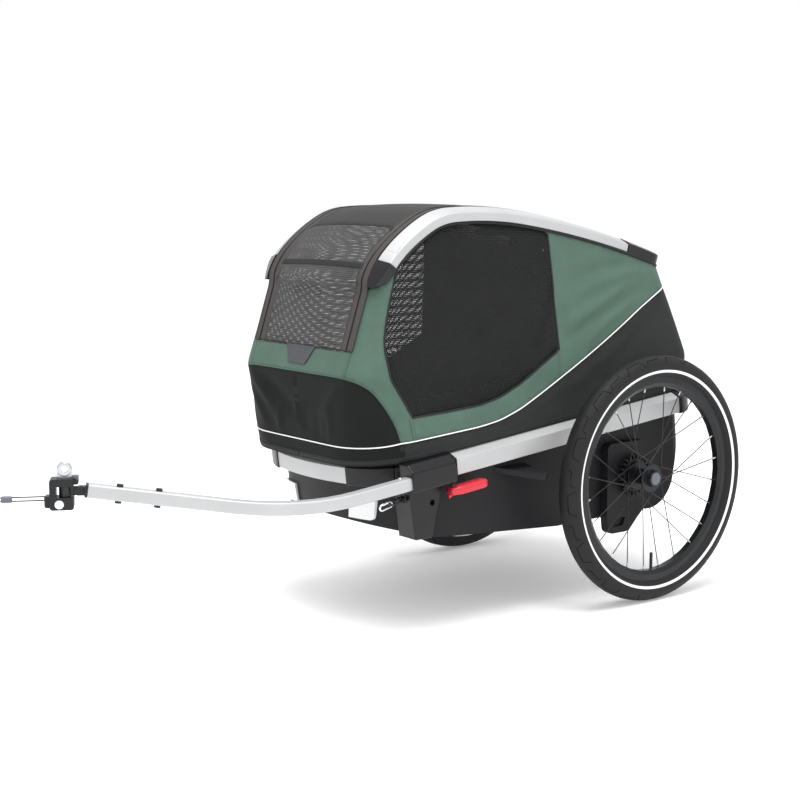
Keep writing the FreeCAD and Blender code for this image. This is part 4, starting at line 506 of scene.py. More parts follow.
tyrePoints, tyreFaces, tyreSlots = buildTyre()
for side, sign in (("left", 1), ("right", -1)):
    moved = [(sign * (p[0] + tyre["centreX"]), p[1], p[2] + tyre["centreZ"]) for p in tyrePoints]
    turned = [f[::sign] for f in tyreFaces]
    piece = newPiece("tyre_rubber_" + side, moved, turned, [rubber, stripe], tyreSlots)
    piece.data.set_sharp_from_angle(angle=tyre["sharp"])
    settle(piece, "wheel_" + side, "tyre_" + side)
print("tyres done,", len(tyreFaces), "faces each")

# cabin walls: one plan per height, measured round from the middle of the front
cabin = {"levels": ((260, 650, 190, 235, 140), (300, 652, 193, 233, 134), (487, 664, 202, 222, 74),
                    (534, 648, 184, 216, 68), (650, 611.3, 137, 203, 62),
                    (830, 569, 69, 186, 62)),  # z, front, rear, half, corner
         "ease": 11, "rearCorner": 42.0, "topZ": 822.0, "bandTop": 534.0, "thick": 1.3, "spacing": 8.0,
         "frameSlope": math.radians(6.3), "frameY": -467.0, "frameZ": 300.0, "frameTop": 43.8}
levelTable = np.array(cabin["levels"], float)
levelZ = np.arange(262.0, 828.0, 2.0)
levelCurves = [smoothed(np.interp(levelZ, levelTable[:, 0], column), cabin["ease"])
               for column in levelTable.T[1:]]


def level(z):  # front, rear, half and corner at a height
    return [np.interp(z, levelZ, curve) for curve in levelCurves]


def wallPoint(d, z):  # d mm round from the front's middle, positive on the left
    d, z = np.asarray(d, float), np.asarray(z, float)
    front, rear, half, corner = level(z)
    back = cabin["rearCorner"]
    run = np.abs(d)
    flat, arc = half - corner, corner * math.pi / 2
    straight = rear + front - corner - back
    a = np.clip((run - flat) / corner, 0, math.pi / 2)
    x = np.minimum(run, flat) + corner * np.sin(a)
    y = -front + corner * (1 - np.cos(a)) + np.clip(run - flat - arc, 0, straight)
    b = np.clip((run - flat - arc - straight) / back, 0, math.pi / 2)
    x = x - back * (1 - np.cos(b)) - np.maximum(run - flat - arc - straight - back * math.pi / 2, 0)
    y = y + back * np.sin(b)
    return np.stack([np.where(d < 0, -x, x), y, z + 0 * x], -1)


def onWall(flat, lift=0.0):  # places and outward ways of (run, height) points
    d, z = flat[:, 0], flat[:, 1]
    around = wallPoint(d + 0.5, z) - wallPoint(d - 0.5, z)
    rise = wallPoint(d, z + 0.5) - wallPoint(d, z - 0.5)
    outward = unit(np.cross(around, rise))
    return wallPoint(d, z) + outward * lift, outward


def sideRun(y, z):  # how far round a point of the left side is
    front, rear, half, corner = (float(v) for v in level(z))
    flat, arc, back = half - corner, corner * math.pi / 2, cabin["rearCorner"]
    if y < corner - front:
        return flat + corner * math.acos(max(-1.0, min(1.0, 1 - (y + front) / corner)))
    if y > rear - back:
        turn = math.asin(min(1.0, (y - rear + back) / back))
        return flat + arc + rear + front - corner - back + back * turn
    return flat + arc + y + front - corner


def backRun(x, z):  # and a point of the rear, x mm left of the middle
    front, rear, half, corner = (float(v) for v in level(z))
    back = cabin["rearCorner"]
    return half - corner + (corner + back) * math.pi / 2 + rear + front - corner - back + half - back - x


def frontRun(x, z):  # and a point of the front
    half, corner = (float(v) for v in level(z)[2:])
    flat = half - corner
    return x if x <= flat else flat + corner * math.asin((x - flat) / corner)


def alongSide(places):  # (y, z) of the left side as (run, height)
    return [(sideRun(y, z), z) for y, z in places]


def alongBack(x, heights):
    return [(backRun(x, z), z) for z in heights]


def frameTop(y):  # height of the lower frame's top edge
    slope = cabin["frameSlope"]
    return cabin["frameZ"] + cabin["frameTop"] / math.cos(slope) + (y - cabin["frameY"]) * math.tan(slope)


def frameEdge(d):  # and where the cabin wall meets it
    z = 340.0
    for _ in range(6):
        z = frameTop(float(wallPoint(d, z)[1]))
    return z


# roof: one curve of arcs each way from the peak, as (radius, degrees)
roof = {"peakY": -375.0, "peakZ": 797.0,
        "forward": ((850, 4), (160, 15), (160, 9), (350, 16), (150, 0.1), (150, 22), (60, 20)),
        "rearward": ((850, 8), (2200, 7.6), (2200, 0.033), (2200, 2.6)),
        "railHigh": 27.0, "railGap": 2.4, "half": 167.5, "crownHalf": 168.0, "crown": 9.0, "drop": 4.0,
        "edge": -160.0, "archR": 12.0, "spacing": 9.0, "bowAt": 92.0, "bowWide": 30.0, "bowHigh": 1.5,
        "slackAt": -20.0, "slackWide": 60.0, "dipAcross": 120.0, "dipAlong": 150.0, "dip": 1.6}


def roofTable():
    found = {}
    for facing, arcs in ((-1, roof["forward"]), (1, roof["rearward"])):
        y, z, slope, run = roof["peakY"], roof["peakZ"], 0.0, 0.0
        found[facing] = [(run, y, z, slope)]
        for radius, turn in arcs:
            count = max(2, int(turn * 2))
            for i in range(1, count + 1):
                a = slope + math.radians(turn) * i / count
                found[facing].append((run + radius * (a - slope),
                                      y + facing * radius * (math.sin(a) - math.sin(slope)),
                                      z - radius * (math.cos(slope) - math.cos(a)), a))
            run, y, z, slope = found[facing][-1]
    return np.array([(-s, y, z, -a) for s, y, z, a in found[-1][:0:-1]] + found[1])


roofRows = roofTable()
roofFront, roofRear = roofRows[0, 0], roofRows[-1, 0]
print("roof runs", round(roofFront, 1), "to", round(roofRear, 1))


def roofAt(s, lift):  # (y, z) on the roof's curve, moved out by lift
    y, z, a = (np.interp(s, roofRows[:, 0], roofRows[:, k]) for k in (1, 2, 3))
    return np.stack([y + lift * np.sin(a), z + lift * np.cos(a)], -1)


def roofOut(s):  # the way out of the roof's curve
    a = np.interp(s, roofRows[:, 0], roofRows[:, 3])
    return np.stack([0 * a, np.sin(a), np.cos(a)], 1)


def onRoof(x, s, lift):
    return np.concatenate([np.broadcast_to(x, np.shape(s))[:, None], roofAt(s, lift)], 1)


def sheetLift(x):
    return roof["crown"] * (1 - (np.asarray(x, float) / roof["crownHalf"]) ** 2) - roof["drop"]


def inside(points, ring):
    points, ring = np.asarray(points, float), np.asarray(ring, float)
    hit = np.zeros(len(points), bool)
    for (x0, y0), (x1, y1) in zip(ring, np.roll(ring, -1, 0)):
        if y0 != y1:
            crosses = (y0 > points[:, 1]) != (y1 > points[:, 1])
            hit ^= crosses & (points[:, 0] < (x1 - x0) * (points[:, 1] - y0) / (y1 - y0) + x0)
    return hit


def edgeDistance(points, rings):  # to the nearest of some outlines
    best = np.full(len(points), 1e9)
    for ring in rings:
        for a, b in zip(ring, np.roll(ring, -1, 0)):
            run = b - a
            t = np.clip(((points - a) @ run) / max(run @ run, 1e-9), 0, 1)
            best = np.minimum(best, np.linalg.norm(points - a - t[:, None] * run, axis=1))
    return best


def refined(line, step, closed):  # extra points on long runs
    line = [np.array(p, float) for p in line]
    made = []
    for a, b in zip(line, line[1:] + line[:1] if closed else line[1:]):
        count = max(1, int(round(np.linalg.norm(b - a) / step)))
        made += [a + (b - a) * i / count for i in range(count)]
    return np.array(made if closed else made + [line[-1]])


def eased(line, step, width):  # a line of points rounded at its corners
    line = refined(line, step, False)
    return np.stack([smoothed(line[:, k], width) for k in range(line.shape[1])], 1)


def cutPanel(rings, spacing):  # triangles of a flat outline, the first ring, less the holes after it
    def within(places):
        keep = inside(places, rings[0])
        for hole in rings[1:]:
            keep &= ~inside(places, hole)
        return keep

    points, edges = [], []
    for outline in rings:
        start = len(points)
        points += [tuple(p) for p in outline]
        edges += [(start + i, start + (i + 1) % len(outline)) for i in range(len(outline))]
    low, high = rings[0].min(0), rings[0].max(0)
    grid = []  # rows of even triangles, kept a little way off the edges
    for j, v in enumerate(np.arange(low[1], high[1], spacing * 0.866)):
        grid += [(u + spacing / 2 * (j % 2), v) for u in np.arange(low[0], high[0], spacing)]
    grid = np.array(grid)
    grid = grid[within(grid)]
    points += [tuple(p) for p in grid[edgeDistance(grid, rings) > spacing * 0.55]]
    made, _, triangles, _, _, _ = delaunay_2d_cdt([Vector(p) for p in points], edges, [], 0, 1e-5)
    flat = np.array([tuple(v) for v in made])
    triangles = np.array([t for t in triangles if len(t) == 3])
    return flat, triangles[within(flat[triangles].mean(1))]


def foldLift(places, folds):  # long soft ridges of pulled cloth: (y, z) to (y, z), width, height
    lift = np.zeros(len(places))
    for a, b, width, height in folds:
        a, b = np.array(a, float), np.array(b, float)
        run = b - a
        t = ((places - a) @ run) / (run @ run)
        off = np.linalg.norm(places - a - np.clip(t, 0, 1)[:, None] * run, axis=1)
        taper = np.clip(np.sin(np.clip(t, -0.1, 1.1) * math.pi * 0.83 + 0.26), 0, 1)  # dies away at both ends
        lift += height * taper * np.exp(-(off / width) ** 2)
    return lift


# outlines of the cloth in (run, height)
piping = {"side": ((-580, 368), (-517, 373), (-396, 383), (-345, 391), (-293, 408), (-240, 433), (-186, 460),
                   (-130, 488), (-71, 519), (-11, 552), (50, 588), (123, 628)),  # (y, z) on the left wall
          "frontZ": 357.0, "sideZ": 368.0, "radius": 1.25, "panelTo": 262.0}
cut = {"step": 6.0, "ease": 9, "panelStep": 7.0, "windowStep": 5.0}  # mm between points, points of rounding
rearDoor = {"half": 157.0, "cutHalf": 160.0, "low": 470.0, "proud": 2.4, "zipX": 153.0, "zipLow": 474.0,
            "footHalf": 150.0, "soft": 2.0, "softAcross": 90.0, "softUp": 120.0}
sideLine = alongSide(piping["side"])
bandEdge = eased([(0, 487), (60, 487), (120, 487), (158, 486.5), (188, 481), (212, 468), (231, 440),
                  (249, 403), sideLine[0]], cut["step"], cut["ease"])
sideEdge = eased(sideLine + alongBack(rearDoor["cutHalf"], [638.0]), cut["step"], cut["ease"])
upperEdge = [tuple(p) for p in np.concatenate([bandEdge[:-1], sideEdge])]
caps = {"front": 54.0, "socket": 80.0, "rear": 100.0, "rearRound": 22.0, "inner": 170.0, "outer": 198.0,
        "ledge": 22.0, "fall": 8.0, "fallMost": 0.3, "fallOut": 1.35, "proud": 1.8, "round": 1.6,
        "tipIn": 0.5, "tailIn": 0.55}  # mm along the rail, its section, then shares of its width


def capTaper(run):  # 0 on the rail to 1 at its front tip
    return np.clip((roofFront + caps["front"] - np.asarray(run, float)) / caps["front"], 0, 1)


def capDepth(run):  # the rail's depth, drawn in to a round tip at the front
    return 1.0 + (roof["railHigh"] - 1.0) * np.sqrt(1 - (0.985 * capTaper(run)) ** 2)


underRuns = np.linspace(roofRear - 2, roofFront, 120)
underRail = roofAt(underRuns, -(capDepth(underRuns) + roof["railGap"]))
railLine = [(sideRun(y, min(z, cabin["topZ"])), z) for y, z in underRail]
coverRing = upperEdge + alongBack(rearDoor["cutHalf"], (650, 665, 680, 693)) + alongBack(174, [693]) + \
    railLine + [(frontRun(x, z), z) for x, z in ((150, 648), (147, 590), (144, cabin["bandTop"]))] + \
    [(x, cabin["bandTop"]) for x in (120, 60, 0)]
window = {"low": ((-555, 414), (-467, 419), (-394, 424), (-344, 435), (-292, 456), (-238, 486), (-184, 516)),
          "rear": ((-184, 516), (-190, 613), (-197, 741)),
          "front": ((-568, 683), (-585, 630), (-603, 568), (-607, 541), (-603, 508), (-555, 414)),
          "below": 1.5}
windowTop = roofAt(np.linspace(197, -232, 60), -(roof["railHigh"] + roof["railGap"] + window["below"]))
windowTop = [p for p in windowTop if -562 < p[0] < -200]
windowRing = []
for stretch, width in ((window["low"], 11), (window["rear"], 3), (windowTop, 3), (window["front"], 13)):
    windowRing += [tuple(p) for p in eased(alongSide(stretch), cut["windowStep"], width)]
following = windowRing[1:] + windowRing[:1]
windowRing = np.array([p for p, q in zip(windowRing, following) if math.dist(p, q) > 1.0])
skirtLow = [(d, frameEdge(d) - 2.0) for d in np.linspace(0, 1180, 140)]  # 2 mm under the frame's top edge
skirtLow = [p for p in skirtLow if p[0] < backRun(0, p[1]) - 0.5]
skirtLow += alongBack(0, [skirtLow[-1][1]])
skirtRing = upperEdge + alongBack(rearDoor["cutHalf"], np.arange(630, rearDoor["low"] - 1, -8.0)) + \
    [(backRun(x, rearDoor["low"]), rearDoor["low"]) for x in (150, 120, 80, 40, 0)] + skirtLow[::-1]

coverFolds = (((95, 668), (-165, 560), 13.0, 5.0), ((105, 655), (-120, 520), 11.0, 4.4),
              ((100, 678), (-150, 625), 12.0, 4.2), ((60, 640), (-175, 530), 10.0, -4.0),
              ((100, 645), (-40, 580), 8.0, -3.6), ((80, 690), (-120, 665), 10.0, -3.0),
              ((-575, 640), (-604, 470), 14.0, 1.8), ((-500, 398), (-330, 402), 9.0, 1.6))
skirtFolds = (((-120, 470), (-300, 390), 11.0, 4.2), ((0, 530), (-180, 420), 12.0, 3.8),
              ((100, 590), (-40, 470), 12.0, -4.0), ((-640, 470), (-655, 380), 12.0, -2.0),
              ((-560, 362), (-380, 376), 7.0, 1.2))
frontFolds = (((-165, 482), (-60, 385), 13.0, 6.0), ((-140, 480), (30, 392), 15.0, -5.0),
              ((-175, 450), (-110, 370), 10.0, 4.0), ((150, 482), (60, 380), 15.0, 5.0),
              ((120, 470), (-10, 400), 12.0, -4.0), ((-60, 420), (-66, 362), 8.0, 3.6),
              ((0, 430), (8, 362), 8.0, 3.2), ((70, 420), (64, 362), 9.0, -3.0),
              ((110, 430), (104, 364), 9.0, 3.4))  # (x, z) on the front
slack = {"along": 130.0, "up": 95.0, "height": 1.6, "fade": 26.0, "frontDeep": 40.0}


def thicken(piece, offset=-1.0):  # the cloth's thickness, with its lining behind
    addModifier(piece, "SOLIDIFY", thickness=cabin["thick"] / 1000, offset=offset, material_offset=1,
                material_offset_rim=0)


def clothPanel(name, ring, holes, materials, folds, front=()):
    rings = [refined(ring, cut["panelStep"], True)] + holes
    flat, triangles = cutPanel(rings, cabin["spacing"])
    base, normal = onWall(flat)
    fade = np.clip(edgeDistance(flat, rings) / slack["fade"], 0, 1) ** 0.8  # the cloth is held at its edges
    nose = np.abs(base[:, 1] + level(flat[:, 1])[0]) < slack["frontDeep"]
    parts = []
    for sign in (1, -1):
        shake = [noise.noise((sign * a / slack["along"] + 7 * sign, b / slack["up"], 3.1)) for a, b in flat]
        pull = foldLift(base[:, 1:], folds) + np.array(shake) * slack["height"]
        pull += foldLift(np.stack([sign * base[:, 0], flat[:, 1]], 1), front) * nose
        part = (base + normal * (pull * fade)[:, None], triangles)
        parts.append(part if sign > 0 else mirroredPart(part))
    points, faces, slots = joined(parts)
    if len(materials) > 2:  # the front panel takes a darker copy of the charcoal cloth, painted shade for the front's weaker light
        slots = np.tile(np.where(np.abs(flat[triangles].mean(1)[:, 0]) < piping["panelTo"], 2, 0), 2)
    weave = np.concatenate([flat / 1000.0, flat * (-1, 1) / 1000.0])
    piece = newPiece(name, points, faces, materials, slots, weave)
    area = cleaned(piece, gap=0.0002)
    thicken(piece)
    print(name, len(piece.data.polygons), "faces, area", round(area, 3))
    return piece, area


cover, coverArea = clothPanel("sage_cover", coverRing, [windowRing], [sageCloth, liningCloth], coverFolds)
skirt, skirtArea = clothPanel("charcoal_skirt", skirtRing, [],
                              [charcoalCloth, liningCloth, frontShadeCloth, liningCloth], skirtFolds, frontFolds)

# nets: real open threads at a coarser pitch than a real net's, so that they show
net = {"pitchFront": 3.6, "pitchSide": 3.2, "threadFront": 1.22, "threadSide": 0.98, "flatShare": 0.45,
       "over": 0.25, "shortest": 2.0, "segment": 18.0, "sunk": 0.9, "half": 131.0, "blend": 28.0,
       "hemHalf": 158.0, "hemRun": 2.0, "hemWide": 3.5, "barHalf": 134.0, "barRise": 40.0, "barR": 3.4,
       "barSunk": 3.0, "barWide": 12.0, "archWide": 9.0, "tapeThick": 0.9, "bindWide": 4.0, "bindThick": 0.8}


def crossings(ring, axis, value):  # where a line across the outline goes in and out
    found = []
    for a, b in zip(ring, np.roll(ring, -1, 0)):
        if (a[axis] > value) != (b[axis] > value):
            found.append(a[1 - axis] + (b[1 - axis] - a[1 - axis]) * (value - a[axis]) / (b[axis] - a[axis]))
    return sorted(found)


def threads(ring, place, thick, pitch):  # both thread directions inside an outline, as thin three-sided bars
    parts = []
    for axis, lift in ((0, net["over"]), (1, -net["over"])):
        low, high = ring[:, axis].min(), ring[:, axis].max()
        for value in np.arange(low + pitch / 2, high, pitch):
            stops = crossings(ring, axis, value)
            for start, end in zip(stops[::2], stops[1::2]):
                if end - start < net["shortest"]:
                    continue
                count = max(2, int((end - start) / net["segment"]) + 1)
                flat = [np.full(count, value), np.linspace(start, end, count)]
                line, outward = place(np.stack(flat if axis == 0 else flat[::-1], 1))
                line = line + outward * lift
                points, faces = tubeMesh(line, thick, 3)
                centre, out = np.repeat(line, 3, 0), np.repeat(outward, 3, 0)  # pressed flat by the weave
                rise = ((points - centre) * out).sum(1)[:, None]
                parts.append((points - out * rise * (1 - net["flatShare"]), faces))
    return parts


def windowPlace(flat):
    return onWall(flat, -net["sunk"])


sideParts = threads(windowRing, windowPlace, net["threadSide"], net["pitchSide"])
bindPath, bindOut = onWall(windowRing)
bindAcross = unit(np.cross(bindOut, np.roll(bindPath, -1, 0) - np.roll(bindPath, 1, 0)))
loop = list(range(len(bindPath))) + [0]
binding = ribbonMesh(bindPath[loop], bindAcross[loop], bindOut[loop], net["bindWide"], net["bindThick"])
sideParts.append(binding + (1,))
windows = pairedPiece("side_window_nets", sideParts, [windowYarn, charcoalCloth])
print("side nets", len(windows.data.polygons), "faces")

# front net: up the front wall, then over the nose of the roof to an arched edge
wallRise = roofAt(roofFront, 0.0)[1] - cabin["bandTop"]


def frontPlace(flat):  # (x, run up from the band)
    x, run = flat[:, 0], flat[:, 1]
    z = np.minimum(cabin["bandTop"] + run, cabin["bandTop"] + wallRise)
    low = np.stack([x, -level(z)[0] - np.clip(run / wallRise, 0, 1) * (sheetLift(x) + 1.0), z], 1)
    high = onRoof(x, np.clip(roofFront + run - wallRise, roofFront, 0), sheetLift(x))
    share = np.clip((run - wallRise + net["blend"] / 2) / net["blend"], 0, 1)[:, None]
    return low * (1 - share) + high * share, roofOut(roofFront + run - wallRise)


def acrossFront(half, run):  # a level line across the front
    return frontPlace(np.stack([np.linspace(-half, half, 30), np.full(30, run)], 1))


def archRun(x):  # the net's arched upper edge
    over = np.clip((np.abs(x) - net["half"] + roof["archR"]) / roof["archR"], 0, 1)
    return roof["edge"] - roofFront + wallRise - roof["archR"] * (1 - np.sqrt(1 - over ** 2))


archIn = net["half"] - roof["archR"]
archTurn = np.linspace(0.02, math.pi / 2, 14)
archX = np.concatenate([[-net["half"]], -archIn - roof["archR"] * np.cos(archTurn),
                        np.linspace(-archIn + 10, archIn - 10, 8),
                        archIn + roof["archR"] * np.cos(archTurn[::-1]), [net["half"]]])
netSide = np.linspace(10, float(archRun(net["half"])) - 3, 22)
netRing = np.array([(x, 0.0) for x in np.linspace(net["half"], -net["half"], 20)] +
                   [(-net["half"], r) for r in netSide] + [(x, float(archRun(x))) for x in archX] +
                   [(net["half"], r) for r in netSide[::-1]])
frontParts = threads(netRing, frontPlace, net["threadFront"], net["pitchFront"])
archPath, archOut = frontPlace(np.stack([archX, archRun(archX)], 1))
hemPath = acrossFront(net["hemHalf"], net["hemRun"])[0]
hemAcross, hemOut = (np.tile(way, (len(hemPath), 1)) for way in ((0.0, 0.3, 0.95), (0.0, -1.0, 0.0)))
barPath, barOut = acrossFront(net["barHalf"], wallRise + net["barRise"])
for part in (ribbonMesh(archPath, acrossOf(archPath, archOut), archOut, net["archWide"], net["tapeThick"]),
             ribbonMesh(hemPath, hemAcross, hemOut, net["hemWide"], net["tapeThick"]),
             tubeMesh(barPath - barOut * net["barSunk"], net["barR"], 8),
             ribbonMesh(barPath, acrossOf(barPath, barOut), barOut, net["barWide"], net["tapeThick"])):
    frontParts.append(part + (1,))
frontNet = joinedPiece("front_net", frontParts, [netYarn, charcoalCloth])
print("front net", len(frontNet.data.polygons), "faces")

# roof cloth from the net's arch to the tail, crowned between the rails
roofRing = [(x, float(archRun(x)) - wallRise + roofFront) for x in archX]
netEdge = np.linspace(roofRing[0][1] - 12, roofFront + 4, 12)
railEdge = np.linspace(roofFront + 2, roofRear - 1, 90)
roofRing += [(net["half"], s) for s in netEdge] + [(roof["half"], s) for s in railEdge]
roofRing += [(x, roofRear) for x in np.linspace(roof["half"], -roof["half"], 30)]
roofRing += [(-roof["half"], s) for s in railEdge[::-1]] + [(-net["half"], s) for s in netEdge[::-1]]
roofFlat, roofTris = cutPanel([np.array(roofRing)], roof["spacing"])
roofX, roofS = roofFlat.T
dip = [noise.noise((x / roof["dipAcross"], s / roof["dipAlong"], 8.3)) for x, s in roofFlat]
dip = np.array(dip) * roof["dip"]
bow = np.exp(-((roofS - roof["bowAt"]) / roof["bowWide"]) ** 2) * roof["bowHigh"]
bow -= np.exp(-((roofS - roof["slackAt"]) / roof["slackWide"]) ** 2)  # it hangs 1 mm ahead of the bow
roofShape = sheetLift(roofX) + (dip + bow) * (1 - (roofX / roof["crownHalf"]) ** 2)
roofCover = newPiece("roof_cloth", onRoof(roofX, roofS, roofShape), roofTris, [roofCloth, liningCloth], None,
                     roofFlat / 1000.0)
thicken(roofCover, -1.0 if roofCover.data.polygons[0].normal.z > 0 else 1.0)
print("roof cloth", len(roofTris), "faces")

# zips: a tape with a ridged coil from the band up both sides of the net and along the rails
zips = {"x": 147.5, "tapeWide": 35.0, "tapeThick": 1.0, "coil": 2.0, "toothMm": 2.6,
        "weltR": 1.5, "weltAt": 0.97, "weltUp": 0.5, "doorWide": 20.0, "proud": 0.6}


def zipParts(line, outward, wide):
    across = acrossOf(line, outward)
    runs = runsOf(line)
    count = int(runs[-1] / zips["toothMm"])
    fine = np.linspace(0, runs[-1], count)
    crest = line + outward * zips["tapeThick"]
    spine = np.stack([np.interp(fine, runs, crest[:, k]) for k in range(3)], 1)
    ridge = zips["coil"] * np.where(np.arange(count) % 2, 1.12, 0.82)
    tape = ribbonMesh(line, across, outward, wide, zips["tapeThick"])
    welts = [tubeMesh(line + across * (wide / 2 * k) + outward * zips["weltUp"], zips["weltR"], 6)
             for k in (-zips["weltAt"], zips["weltAt"])]
    return [tape, tubeMesh(spine, ridge, 6) + (1,)] + welts


zipRun = np.concatenate([np.linspace(2, wallRise - 10, 24), np.linspace(wallRise, wallRise - roofFront, 80)])
zipLine, zipOut = frontPlace(np.stack([np.full(len(zipRun), zips["x"]), zipRun], 1))
tailS = np.linspace(6, roofRear - 6, 50)
zipLine = np.concatenate([zipLine, onRoof(zips["x"], tailS, float(sheetLift(zips["x"])))])
zipOut = np.concatenate([zipOut, roofOut(tailS)])
zipPiece = pairedPiece("roof_zips", zipParts(zipLine + zipOut * zips["proud"], zipOut, zips["tapeWide"]),
                       [tapeCloth, darkPlastic])

# keder: the black welt that the rails grip, seen as a thin line under them
welt = {"under": 1.6, "out": 0.2, "drop": 1.2, "radius": 3.4}
kederS = np.linspace(roofRear - 4, roofFront + 1, 120)
kederYz = roofAt(kederS, -(capDepth(kederS) + welt["under"]))
kederX = np.abs(wallPoint([sideRun(y, z) for y, z in kederYz], kederYz[:, 1])[:, 0])
kederPath = np.stack([kederX + welt["out"], kederYz[:, 0], kederYz[:, 1] - welt["drop"]], 1)
keder = pairedPiece("rail_welts", [tubeMesh(kederPath, welt["radius"], 8)], [charcoalCloth])

# rail ends: the rail runs on a little, then a polished cap drawn in to a round tip; a plain cap at the tail


def railStretch(runs, proud, tail):
    points = []
    for run in runs:
        left, right = caps["inner"] - proud, caps["outer"] + proud
        right -= (right - left) * caps["tipIn"] * capTaper(run) ** 2
        low = -capDepth(run) - proud
        if tail:
            over = np.clip((run - roofRear + caps["rearRound"]) / caps["rearRound"], 0, 1)
            right -= (right - left) * caps["tailIn"] * (1 - math.sqrt(1 - (0.97 * over) ** 2))
            low = -roof["railHigh"] - proud
        share = (right - left) / (caps["outer"] - caps["inner"] + 2 * proud)
        ledge = left + (caps["ledge"] + 2 * proud) * share
        fall = min(caps["fall"], (proud - low) * caps["fallMost"])
        for x, lift in ((left, low), (left, proud), (ledge, proud - fall),
                        (right, proud - fall * caps["fallOut"]), (right, low)):
            y, z = roofAt(run, lift)
            points.append((x, float(y), float(z)))
    return points, skin(len(runs), 5)


tipRuns = roofFront + caps["front"] * (1 - np.sin(np.linspace(0, math.pi / 2, 22)))
tailRuns = np.concatenate([np.linspace(roofRear - caps["rear"], roofRear - caps["rearRound"], 12),
                           roofRear - caps["rearRound"] * np.cos(np.linspace(0.1, math.pi / 2, 10))])
endRuns = np.linspace(roofFront + caps["socket"], roofFront + caps["front"], 10)
capParts = [railStretch(tipRuns, caps["proud"], False), railStretch(tailRuns, caps["proud"], True)]
capPiece = pairedPiece("rail_cap_shells", capParts, [capPlastic])
endPiece = pairedPiece("rail_end_lengths", [railStretch(endRuns, 0.0, False)], [anodised])
for piece, slot, replaced in ((capPiece, "dark_plastic", "rail_caps"),
                              (endPiece, "anodised_aluminium", None)):
    cleaned(piece, turn=True)
    addModifier(piece, "BEVEL", width=caps["round"] / 1000, segments=3, limit_method="ANGLE",
                angle_limit=math.radians(30))
    addModifier(piece, "WEIGHTED_NORMAL", weight=60)
    settle(piece, "roof_frame", replaced)

# release lever: a full rounded grip with a drawn-in root, three finger marks and a web at the root
grip = {"from": -489.0, "to": -403.0, "middle": 252.0, "up": -25.5, "halfWide": 14.0, "halfHigh": 8.6,
        "square": 3.6, "rootWide": 10.5, "rootHigh": 7.6, "rootIn": 2.5, "rootShare": 0.26, "tipShare": 0.16,
        "sides": 28, "marks": (-424.0, -441.0, -458.0), "markR": 0.55, "markX": (247, 257), "markBack": 6,
        "markUp": 0.1, "webX": (240.0, 245.0),
        "web": ((-487.0, -27.0), (-487.0, -41.0), (-470.0, -30.0))}


def onFrame(x, y, up):  # level drawing of the lower frame to its slope
    a, run = cabin["frameSlope"], y - cabin["frameY"]
    return (x, cabin["frameY"] + run * math.cos(a) - up * math.sin(a),
            cabin["frameZ"] + run * math.sin(a) + up * math.cos(a))


def gripShell():
    tipFrom = 1 - grip["tipShare"]
    shares = np.concatenate([np.linspace(0, tipFrom, 18),
                             tipFrom + grip["tipShare"] * np.sin(np.linspace(0.15, math.pi / 2, 10))])
    points = []
    for share in shares:
        root = np.clip(share / grip["rootShare"], 0, 1)
        root = root * root * (3 - 2 * root)
        end = math.sqrt(max(0.0, 1 - (0.985 * max(0.0, share - tipFrom) / grip["tipShare"]) ** 2))
        wide = (grip["rootWide"] + (grip["halfWide"] - grip["rootWide"]) * root) * end
        high = (grip["rootHigh"] + (grip["halfHigh"] - grip["rootHigh"]) * root) * (0.45 + 0.55 * end)
        x = grip["middle"] - grip["rootIn"] * (1 - root)
        y = grip["from"] + (grip["to"] - grip["from"]) * share
        for a in np.arange(grip["sides"]) * 2 * math.pi / grip["sides"]:
            u, v = (math.copysign(abs(c) ** (2 / grip["square"]), c) for c in (math.cos(a), math.sin(a)))
            points.append(onFrame(x + u * wide, y, grip["up"] + v * high))
    return points, [(f[0],) + f[:0:-1] for f in skin(len(shares), grip["sides"])]


gripParts = [gripShell()]
# the finger marks are thin raised ribs in the darker red, which paints the shade of sunk grooves
for mark in grip["marks"]:
    near, far = grip["markX"]
    bend = [onFrame(x, y, grip["up"] + grip["halfHigh"] + grip["markUp"])
            for x, y in ((near, mark), (far, mark), (far, mark - grip["markBack"]))]
    gripParts.append(tubeMesh(refined(bend, 2.0, False), grip["markR"], 6) + (1,))
web = [onFrame(x, y, up) for x in grip["webX"] for y, up in grip["web"]]
gripParts.append((web, [(0, 1, 2), (5, 4, 3), (0, 3, 4, 1), (1, 4, 5, 2), (2, 5, 3, 0)]))
gripPiece = joinedPiece("lock_lever_grip", gripParts, [redPlastic, redPaintedGrooveShade])
settle(gripPiece, "arm_lock_lever", "arm_lock_lever")

# hub buttons: a wide shallow dome in a thin rim, as (radius, out)
hubButton = {"rings": ((0.0, 4.4), (5.0, 4.2), (9.0, 3.5), (12.0, 2.3), (13.6, 0.9), (14.0, 0.0),
                       (14.0, -2.0), (9.0, -2.2)), "sides": 48, "sunk": 4.0}
for side, sign in (("left", 1), ("right", -1)):
    low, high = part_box("hub_button_" + side)
    face = max(abs(low.x), abs(high.x)) * 1000 - hubButton["sunk"]
    turns = np.arange(hubButton["sides"]) * 2 * math.pi / hubButton["sides"]
    points = [(sign * (face + out), radius * math.cos(a), tyre["centreZ"] + radius * math.sin(a))
              for radius, out in hubButton["rings"] for a in turns]
    faces = skin(len(hubButton["rings"]), len(turns))
    piece = newPiece("hub_button_dome_" + side, points, faces, [greyPlastic])
    cleaned(piece, gap=0.00001, turn=True)
    settle(piece, "hub_button_" + side, "hub_button_" + side)

